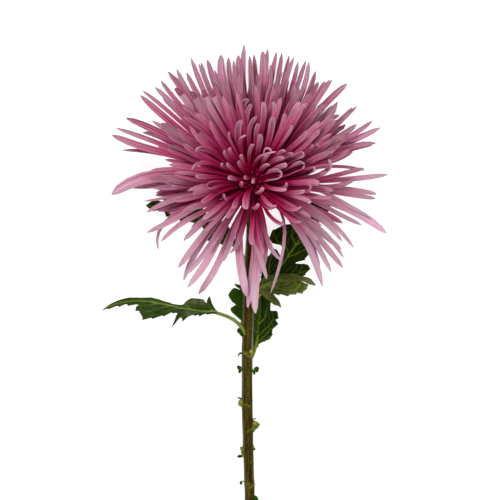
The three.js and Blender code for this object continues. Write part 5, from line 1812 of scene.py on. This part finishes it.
# %% The leaves
# Stalk and midrib are control points of curves. Each row has the share of the midrib that a vein leaves
# from and the margin points (right, up) that it runs to on both sides. `fold` is how far each half comes
# forward per millimetre out from the midrib. `underside` says that the leaf turns its back to the front,
# `teeth` how deep the teeth of each margin are, `deep` how much painted shade darkens each half
# (below 0, how much painted light brightens it), `more_veins` the rows that carry a vein besides those to
# the lobes, and `silver_sheen` patches of hairs with a painted sheen: right, up and radius.
LEAVES = {
    "leaf_left": {
        "stalk": [(-4.4, -75.4, -12.9), (-7.2, -68.2, -12.2), (-13.0, -66.0, -12.0), (-22.0, -63.7, -12.0)],
        "rib": [(-18.5, -64.0, -12.2), (-38.0, -65.5, -10.6), (-56.0, -52.0, -11.5), (-76.3, -63.0, -15.0)],
        "fold": (1.5, -1.3),
        "underside": False,
        "teeth": (0.75, 0.0),
        "deep": (0.15, 0.15),
        "more_veins": ((14,), ()),
        "silver_sheen": [(-26.0, -58.5, 2.2), (-30.0, -58.4, 2.2), (-33.5, -59.5, 2.0), (-32.5, -65.5, 2.2)],
        "rows": [
            (0.0, (-19.0, -65.0), (-19.3, -63.2)),
            (0.05, (-23.5, -65.6), (-21.0, -60.2)),
            (0.09, (-27.5, -66.4), (-22.5, -56.3)),
            (0.12, (-30.0, -66.2), (-23.8, -59.7)),
            (0.16, (-32.5, -66.2), (-25.5, -58.1)),
            (0.2, (-35.8, -68.6), (-28.5, -57.9)),
            (0.24, (-37.0, -66.6), (-31.3, -57.7)),
            (0.28, (-41.0, -71.6), (-33.6, -58.7)),
            (0.32, (-38.4, -65.7), (-35.2, -60.6)),
            (0.37, (-40.8, -65.0), (-38.0, -60.7)),
            (0.43, (-45.4, -66.5), (-41.3, -60.0)),
            (0.49, (-50.8, -67.6), (-44.8, -59.2)),
            (0.55, (-55.7, -67.8), (-47.8, -58.0)),
            (0.59, (-57.2, -64.6), (-50.3, -57.3)),
            (0.63, (-59.4, -63.2), (-53.2, -57.2)),
            (0.68, (-57.8, -61.0), (-57.0, -57.1)),
            (0.75, (-63.2, -60.9), (-61.0, -57.0)),
            (0.84, (-67.6, -61.8), (-67.0, -58.2)),
            (0.93, (-73.0, -62.9), (-72.2, -60.3)),
        ],
    },
    "leaf_right_upper": {
        "stalk": [(-0.4, -58.5, -16.6), (2.0, -56.6, -17.0), (4.5, -54.0, -17.4), (9.5, -47.0, -17.2)],
        "rib": [(6.0, -50.5, -17.4), (16.0, -40.0, -16.8), (24.0, -24.0, -15.0), (39.0, -6.5, -16.0)],
        "fold": (0.12, 0.12),
        "underside": False,
        "teeth": (0.4, 0.5),
        "deep": (0.85, 0.75),
        "rows": [
            (0.0, (4.5, -50.5), (7.5, -51.5)),
            (0.05, (3.2, -46.5), (11.0, -51.5)),
            (0.1, (4.0, -43.0), (16.5, -50.0)),
            (0.15, (5.4, -39.2), (21.5, -48.5)),
            (0.2, (7.0, -36.0), (26.0, -45.5)),
            (0.25, (9.8, -32.2), (28.5, -42.5)),
            (0.3, (11.5, -33.0), (27.2, -40.5)),
            (0.34, (11.9, -36.5), (20.8, -41.8)),
            (0.39, (15.0, -33.5), (21.0, -39.8)),
            (0.44, (12.5, -29.5), (25.8, -38.0)),
            (0.49, (8.8, -29.0), (28.0, -35.0)),
            (0.54, (7.5, -26.5), (31.5, -33.0)),
            (0.6, (9.5, -22.8), (33.7, -29.4)),
            (0.68, (15.5, -20.0), (35.6, -24.0)),
            (0.76, (21.5, -19.0), (32.0, -21.0)),
            (0.84, (24.5, -12.5), (35.5, -16.5)),
            (0.92, (30.0, -8.0), (38.5, -12.5)),
        ],
    },
    "leaf_right_mid": {
        "stalk": [(-0.6, -55.0, -13.8), (1.0, -54.4, -12.6), (2.6, -53.6, -11.0), (5.5, -51.8, -9.8)],
        "rib": [(3.0, -52.0, -10.4), (10.0, -48.0, -8.6), (20.0, -45.4, -7.6), (31.0, -50.8, -8.0)],
        "fold": (-0.7, 0.8),
        "underside": True,
        "teeth": (0.0, 0.7),
        "deep": (0.0, 0.0),
        "silver_sheen": [(7.5, -57.0, 3.0), (11.5, -60.0, 3.0), (27.5, -48.3, 3.0)],
        "rows": [
            (0.0, (2.2, -51.6), (2.8, -54.5)),
            (0.03, (2.6, -50.2), (6.6, -58.0)),
            (0.05, (3.0, -49.0), (10.6, -60.9)),
            (0.07, (3.5, -48.0), (13.8, -61.9)),
            (0.09, (4.0, -47.2), (12.9, -59.2)),
            (0.12, (5.0, -46.4), (11.0, -56.9)),
            (0.16, (6.5, -45.6), (8.6, -55.2)),
            (0.22, (9.0, -45.2), (12.5, -55.5)),
            (0.28, (11.5, -44.9), (17.0, -56.0)),
            (0.34, (14.0, -44.7), (21.0, -55.1)),
            (0.39, (16.0, -44.7), (24.2, -54.8)),
            (0.43, (17.5, -44.8), (26.2, -52.3)),
            (0.47, (19.0, -45.0), (26.9, -50.7)),
            (0.51, (20.5, -45.2), (25.0, -49.6)),
            (0.56, (22.0, -45.5), (20.5, -50.0)),
            (0.68, (25.0, -46.1), (25.3, -48.6)),
            (0.85, (28.5, -47.3), (28.5, -50.0)),
        ],
    },
    "leaf_low": {
        "stalk": [(-1.2, -87.0, -16.6), (0.2, -84.4, -18.6), (0.8, -81.6, -19.8), (1.9, -76.0, -20.2)],
        "rib": [(0.4, -83.6, -19.8), (2.2, -73.0, -20.6), (4.6, -63.5, -21.0), (2.4, -50.0, -21.4)],
        "fold": (-0.05, 0.03),
        "underside": False,
        "teeth": (0.2, 0.4),
        "deep": (-0.45, 0.7),
        "rows": [
            (0.0, (-0.2, -83.8), (0.9, -83.6)),
            (0.03, (-0.8, -81.5), (2.4, -81.2)),
            (0.07, (-1.8, -77.0), (3.2, -79.7)),
            (0.12, (-4.0, -71.0), (5.9, -78.9)),
            (0.18, (-6.5, -67.5), (8.2, -77.8)),
            (0.24, (-9.5, -65.6), (9.6, -75.5)),
            (0.3, (-11.8, -63.5), (9.4, -73.5)),
            (0.35, (-11.5, -62.0), (12.4, -70.1)),
            (0.4, (-9.2, -60.4), (11.0, -68.2)),
            (0.45, (-11.5, -58.5), (12.7, -67.2)),
            (0.51, (-13.0, -55.5), (11.8, -63.8)),
            (0.58, (-10.3, -52.2), (8.8, -63.7)),
            (0.66, (-6.8, -53.2), (8.5, -60.8)),
            (0.74, (-10.0, -50.2), (10.0, -57.0)),
            (0.79, (-6.0, -50.8), (9.8, -55.6)),
            (0.85, (-2.5, -51.0), (9.0, -53.5)),
        ],
    },
    "leaf_left_back": {
        "stalk": [(-3.5, -40.0, -17.2), (-5.5, -35.5, -18.4), (-7.5, -32.5, -19.2), (-13.0, -28.5, -19.9)],
        "rib": [(-9.5, -31.0, -19.6), (-24.0, -22.0, -20.8), (-36.0, -12.0, -21.0), (-54.5, -10.5, -20.0)],
        "fold": (0.1, 0.06),
        "underside": False,
        "teeth": (0.5, 0.5),
        "deep": (0.5, 0.5),
        "rows": [
            (0.0, (-10.0, -31.0), (-8.5, -30.0)),
            (0.07, (-14.0, -31.5), (-10.5, -24.5)),
            (0.13, (-18.5, -29.5), (-14.0, -19.0)),
            (0.18, (-23.5, -28.3), (-17.0, -18.0)),
            (0.24, (-25.0, -25.0), (-19.0, -21.0)),
            (0.31, (-26.0, -21.5), (-22.5, -16.0)),
            (0.38, (-30.0, -18.8), (-27.5, -9.5)),
            (0.44, (-34.5, -18.5), (-32.0, -8.0)),
            (0.5, (-37.5, -18.3), (-32.0, -12.0)),
            (0.58, (-38.5, -17.0), (-36.0, -9.0)),
            (0.66, (-41.5, -17.5), (-41.5, -4.5)),
            (0.74, (-44.5, -16.0), (-46.0, -5.0)),
            (0.82, (-46.0, -13.0), (-45.5, -8.0)),
            (0.91, (-51.5, -13.5), (-50.5, -7.5)),
        ],
    },
}
print(len(LEAVES), "leaves")

# %% The blade: a net from the midrib to the margins
BLADE_PER_ROW = 9
BLADE_ACROSS = 21  # points from the midrib to a margin
COLUMN_POWER = 1.25  # above 1, those points crowd towards the midrib
BLADE_THICKNESS = 0.42
DEEPEST_TEETH = 0.9  # at this depth the margin is straight from tooth to tooth, at 0 it is round
TEETH_FADE = 1.5  # rows over which teeth run out at the blade's ends
LEAF_CLEARANCE = 0.9
VEIN_HALF_WIDTH = 0.36
VEIN_TAPER = 0.4  # share of its width that a side vein loses on its way out
VEIN_FADE = 0.5  # the same of its strength
VEIN_SLANT = 4.5  # how many rows before its lobe a side vein leaves the midrib
SWELLING = 0.38  # how far the blade swells between two veins
SWELLING_REACH = 1.4


def cubic(points, t):
    """Points of a cubic Bezier curve."""
    a, b, c, d = (np.asarray(p, float) for p in points)
    t = np.asarray(t, float)[:, None]
    return a * (1 - t) ** 3 + 3 * b * t * (1 - t) ** 2 + 3 * c * t**2 * (1 - t) + d * t**3


def margin_line(points, fine, outwards, teeth):
    """The margin through its points, each of which is a tooth that points forward."""
    straight = np.array([np.interp(fine, np.arange(len(points)), [p[k] for p in points]) for k in (0, 1)]).T
    smooth = smooth_rows(points, BLADE_PER_ROW)
    line = mix(smooth, straight, min(1.0, teeth / DEEPEST_TEETH))
    behind = (fine - np.floor(fine)) ** 0.4
    return line - outwards * (4 * behind * (1 - behind) * teeth)[:, None]


def lobe_rows(points, rib_points):
    """Numbers of the rows whose margin points stand furthest out: a vein runs to each."""
    out = [math.dist(p, r[:2]) for p, r in zip(points, rib_points)]
    last = len(out) - 1
    return [k for k in range(1, last) if out[k] >= out[k - 1] and out[k] > out[k + 1]]


# %% The net with its veins
def blade_net(plan):
    """Points (rows, columns, 3) of the blade from margin to margin, how far each is from a vein and how
    much it is one, the midrib's points and the lines of the side veins."""
    rows = plan["rows"]
    steps = np.array([row[0] for row in rows] + [1.0])
    last = len(rows)
    fine = np.linspace(0, last, last * BLADE_PER_ROW + 1)
    rib = cubic(plan["rib"], np.interp(fine, np.arange(last + 1), steps))
    rib_at_rows = cubic(plan["rib"], steps)
    tip = tuple(rib_at_rows[-1][:2])
    columns = np.linspace(0, 1, BLADE_ACROSS) ** COLUMN_POWER
    halves, veins = [], []
    for side in (0, 1):
        points = [row[1 + side] for row in rows] + [tip]
        outwards = np.gradient(rib[:, :2], axis=0)[:, ::-1] * ((1, -1) if side else (-1, 1))
        outwards /= np.linalg.norm(outwards, axis=1)[:, None]
        fade = np.clip((last - fine) / TEETH_FADE, 0, 1) * np.clip(fine / TEETH_FADE, 0, 1)
        margin = margin_line(points, fine, outwards * fade[:, None], plan["teeth"][side])
        flat = rib[:, None, :2] + (margin - rib[:, :2])[:, None, :] * columns[None, :, None]
        far = np.linalg.norm(flat - rib[:, None, :2], axis=2)
        height = rib[:, None, 2] + plan["fold"][side] * far
        net = np.dstack([flat, lifted(flat[..., 1], height, LEAF_CLEARANCE)])
        lobes = [*lobe_rows(points, rib_at_rows), *plan.get("more_veins", ((), ()))[side]]
        nearest = far.copy()
        strength = np.exp(-((far / VEIN_HALF_WIDTH) ** 2))
        for k in lobes:
            starts = [max(0, round((k - VEIN_SLANT * (1 - share)) * BLADE_PER_ROW)) for share in columns]
            vein = smooth_rows(net[starts, np.arange(BLADE_ACROSS)], 3)
            away = np.min(np.linalg.norm(net[:, :, None] - vein[None, None], axis=3), axis=2)
            nearest = np.minimum(nearest, away)
            narrow = VEIN_HALF_WIDTH * (1 - VEIN_TAPER * columns)[None, :]
            faint = (1 - VEIN_FADE * columns)[None, :]
            strength = np.maximum(strength, np.exp(-((away / narrow) ** 2)) * faint)
            veins.append(vein)
        halves.append((net, nearest, strength))
    whole = [np.concatenate([left[:, ::-1], right[:, 1:]], axis=1) for left, right in zip(*halves)]
    return (*whole, rib, veins)


def net_faces(rows, columns):
    """The squares of a net."""
    faces = []
    for r in range(rows - 1):
        for c in range(columns - 1):
            a = r * columns + c
            faces.append((a, a + 1, a + columns + 1, a + columns))
    return faces


def net_normals(net):
    """The direction out of a net at each of its points."""
    down = np.gradient(net, axis=0)
    over = np.gradient(net, axis=1)
    normals = np.cross(over, down)
    length = np.linalg.norm(normals, axis=2, keepdims=True)
    return normals / np.maximum(length, 1e-9)


print("a blade has", 2 * BLADE_ACROSS - 1, "points across")

# %% Leaf skins
def vein_pattern(tree, spot):
    """The fine net of veins: bright lines between small cells."""
    wires = {"Vector": spot, "Scale": 620.0}
    to_edge = result(tree, "ShaderNodeTexVoronoi", wires, feature="DISTANCE_TO_EDGE")
    return ramp_from(tree, to_edge, 0.0, 0.09, 1.0, 0.0)


# Painted shade darkens a leaf that lies under the bloom; painted light brightens one.
PAINTED_SHADE_GREEN = (0.004, 0.010, 0.0005, 1)
PAINTED_LIGHT_GREEN = (0.045, 0.125, 0.002, 1)
HAIRY_SHEEN_GREEN = (0.12, 0.15, 0.065, 1)


def leaf_material(name, dark, light, vein_colour, deep_vein, relief):
    """One side of a leaf: patches of green, veins, painted shade (below 0, painted light), hairy spots with
    painted sheen, and relief up or down along the veins.
    """
    made, tree, shader = material(name, {"Roughness": 0.5, "Specular IOR Level": 0.05})
    spot = on_object(tree)
    deep = mark(tree, "deep")
    patches = noise(tree, spot, 170.0, 4.0)
    colour = colour_ramp(tree, patches, [(0.33, dark), (0.62, light)])
    fine_veins = vein_pattern(tree, spot)
    vein_tint = mix_colour(tree, times(tree, deep, 2.0), (*vein_colour, 1), (*deep_vein, 1))
    colour = mix_colour(tree, times(tree, fine_veins, 0.14), colour, vein_tint)
    # Painted shade, and below 0 painted light, on each half of the blade.
    colour = mix_colour(tree, deep, colour, PAINTED_SHADE_GREEN)
    colour = mix_colour(tree, times(tree, deep, -1.0), colour, PAINTED_LIGHT_GREEN)
    lengthwise = calc(tree, "MULTIPLY_ADD", mark(tree, "across"), 30.0, times(tree, patches, 6.0))
    lengthwise = calc(tree, "COSINE", lengthwise)
    lengthwise = ramp_from(tree, lengthwise, 0.2, 1.0, 0.0, 0.3 + 0.15 * relief)
    # Hairy patches with a painted sheen, where the blade catches the light.
    hairy_sheen = ramp_from(tree, patches, 0.35, 0.6, 0.9, 0.3)
    hairy_sheen = times(tree, mark(tree, "silver_sheen"), hairy_sheen)
    colour = mix_colour(tree, hairy_sheen, colour, HAIRY_SHEEN_GREEN)
    veins = calc(tree, "MAXIMUM", lengthwise, times(tree, mark(tree, "vein"), 0.95))
    plug(tree, mix_colour(tree, veins, colour, vein_tint), shader.inputs["Base Color"])
    grain = times(tree, noise(tree, spot, 1800.0, 2.0), 0.5)
    emboss(tree, shader, 0.5, 0.0003, calc(tree, "MULTIPLY_ADD", fine_veins, relief, grain))
    return made


leaf_top = leaf_material(
    "leaf_top", (0.0055, 0.0195, 0.0002), (0.021, 0.054, 0.0002), (0.095, 0.15, 0.012), (0.13, 0.215, 0.004),
    -1.0)
leaf_under = leaf_material(
    "leaf_under", (0.036, 0.050, 0.003), (0.077, 0.107, 0.008), (0.19, 0.22, 0.06), (0.19, 0.22, 0.06), 1.0)
grey_rib = green_material(
    "grey_rib", [(0.3, (0.13, 0.17, 0.022)), (0.7, (0.22, 0.27, 0.06))], 0.5, 0.1, 0.0)
rib_skin = green_material(
    "rib_skin", [(0.3, (0.13, 0.21, 0.008)), (0.7, (0.22, 0.32, 0.025))], 0.5, 0.1, 0.0)
print("leaf skins:", len(leaf_top.node_tree.nodes), "nodes a side")

# %% Make the leaves
STALK_STEPS = 16
STALK_RADII = (0.95, 0.85)  # from its foot to the blade
RIB_RADII = (0.72, 0.10)  # from the blade's foot to its tip
RIB_STRIDE = 3  # the midrib's line takes one point of the net in so many
VEIN_STEPS = 9
VEIN_RADII = (0.28, 0.06)
VEIN_REACH = 0.92  # share of the way to the margin that a side vein stands out of the blade
VEIN_SINK = 0.16
RIB_SINK = 0.45  # share of its radius by which the midrib stands off the blade's middle
# Leaves with no more painted shade than this have grey ribs.
PALEST_SHADE = 0.2  # leaves no darker than this have grey ribs


def leaf_blade(name, plan):
    """The blade as one sheet, given its thickness, with a skin for either side."""
    net, nearest, strength, rib, veins = blade_net(plan)
    rows, columns = net.shape[:2]
    swelling = SWELLING * (1 - np.exp(-((nearest / SWELLING_REACH) ** 2))) - 0.5 * SWELLING * strength
    way = -1.0 if plan["underside"] else 1.0
    normals = net_normals(net)
    net = net + normals * (way * swelling)[..., None]
    places = [LAID @ Vector(p) for p in net.reshape(-1, 3)]
    mesh = bpy.data.meshes.new(name)
    mesh.from_pydata(places, [], net_faces(rows, columns))
    half = np.linspace(0, 1, BLADE_ACROSS) ** COLUMN_POWER
    across = np.tile(np.concatenate([-half[::-1], half[1:]]), rows)
    deep = np.tile(np.repeat(plan["deep"], (BLADE_ACROSS, BLADE_ACROSS - 1)), rows)
    silver_sheen = np.zeros((rows, columns))
    for x, y, radius in plan.get("silver_sheen", ()):
        silver_sheen = np.maximum(silver_sheen, np.exp(-((net[..., 0] - x) ** 2 + (net[..., 1] - y) ** 2) / radius**2))
    marks = {"vein": strength.ravel(), "across": across, "deep": deep, "silver_sheen": silver_sheen.ravel()}
    write_numbers(mesh, marks)
    front, back = (leaf_under, leaf_top) if plan["underside"] else (leaf_top, leaf_under)
    blade = finished(name, mesh, front, back)
    merge = blade.modifiers.new("Merge the tip", "WELD")
    merge.merge_threshold = 1e-6
    thick = blade.modifiers.new("Thickness", "SOLIDIFY")
    thick.thickness = BLADE_THICKNESS * MM
    thick.offset = 0.0
    thick.material_offset = 1
    return blade, rib, veins


def leaf_ribs(name, plan, rib, veins):
    """The stalk, the midrib that it runs on as, and the side veins, raised on the underside."""
    stalk = cubic(plan["stalk"], np.linspace(0, 1, STALK_STEPS))
    stalk_path = [(*p, mix(*STALK_RADII, k / (STALK_STEPS - 1))) for k, p in enumerate(stalk)]
    way = 1.0 if plan["underside"] else -1.0
    rib_path = []
    for k in range(0, len(rib), RIB_STRIDE):
        r = mix(*RIB_RADII, (k / (len(rib) - 1)) ** 0.7)
        x, y, z = rib[k]
        rib_path.append((x, y, z + way * r * RIB_SINK, r))
    paths = [stalk_path, rib_path]
    for vein in veins:
        path = []
        for k in range(VEIN_STEPS):
            share = k / (VEIN_STEPS - 1) * VEIN_REACH
            at = share * (len(vein) - 1)
            low = int(at)
            p = vein[low] + (vein[min(low + 1, len(vein) - 1)] - vein[low]) * (at - low)
            path.append((p[0], p[1], p[2] + way * VEIN_SINK, mix(*VEIN_RADII, share)))
        paths.append(path)
    grey = plan["underside"] or max(plan["deep"]) < PALEST_SHADE
    return run_tree(path_lines(name, paths), stalks, sides=8, finish=grey_rib if grey else rib_skin)


leaves = {}
for name, plan in LEAVES.items():
    blade, rib, veins = leaf_blade(f"{name}_blade", plan)
    leaves[name] = [plain_mesh(blade), leaf_ribs(f"{name}_ribs", plan, rib, veins)]
    print(name, len(leaves[name][0].data.polygons), "faces,", len(veins), "side veins")

# %% [markdown]
# Nothing on a cut flower moves, so every piece rides on the root. The pieces are listed by what they are
# made of, and a piece that replaces a CAD node hides that plain solid.

# %% Ride and replace
SLOTS = {
    "florets": [*florets.values(), receptacle, tube],
    "bracts": [cup, *bract_rings],
    "stem": [stem_piece, stem_buds, stem_stubs, stem_hairs],
    "leaf": [piece for pair in leaves.values() for piece in pair],
}
for slot, pieces in SLOTS.items():
    for piece in pieces:
        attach(piece, "root")
print(sum(map(len, SLOTS.values())), "pieces")

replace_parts(florets["florets_outer"], "bloom")
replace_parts(cup, "involucre")
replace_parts(stem_piece, "stem")
for name, pair in leaves.items():
    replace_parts(pair[0], name)
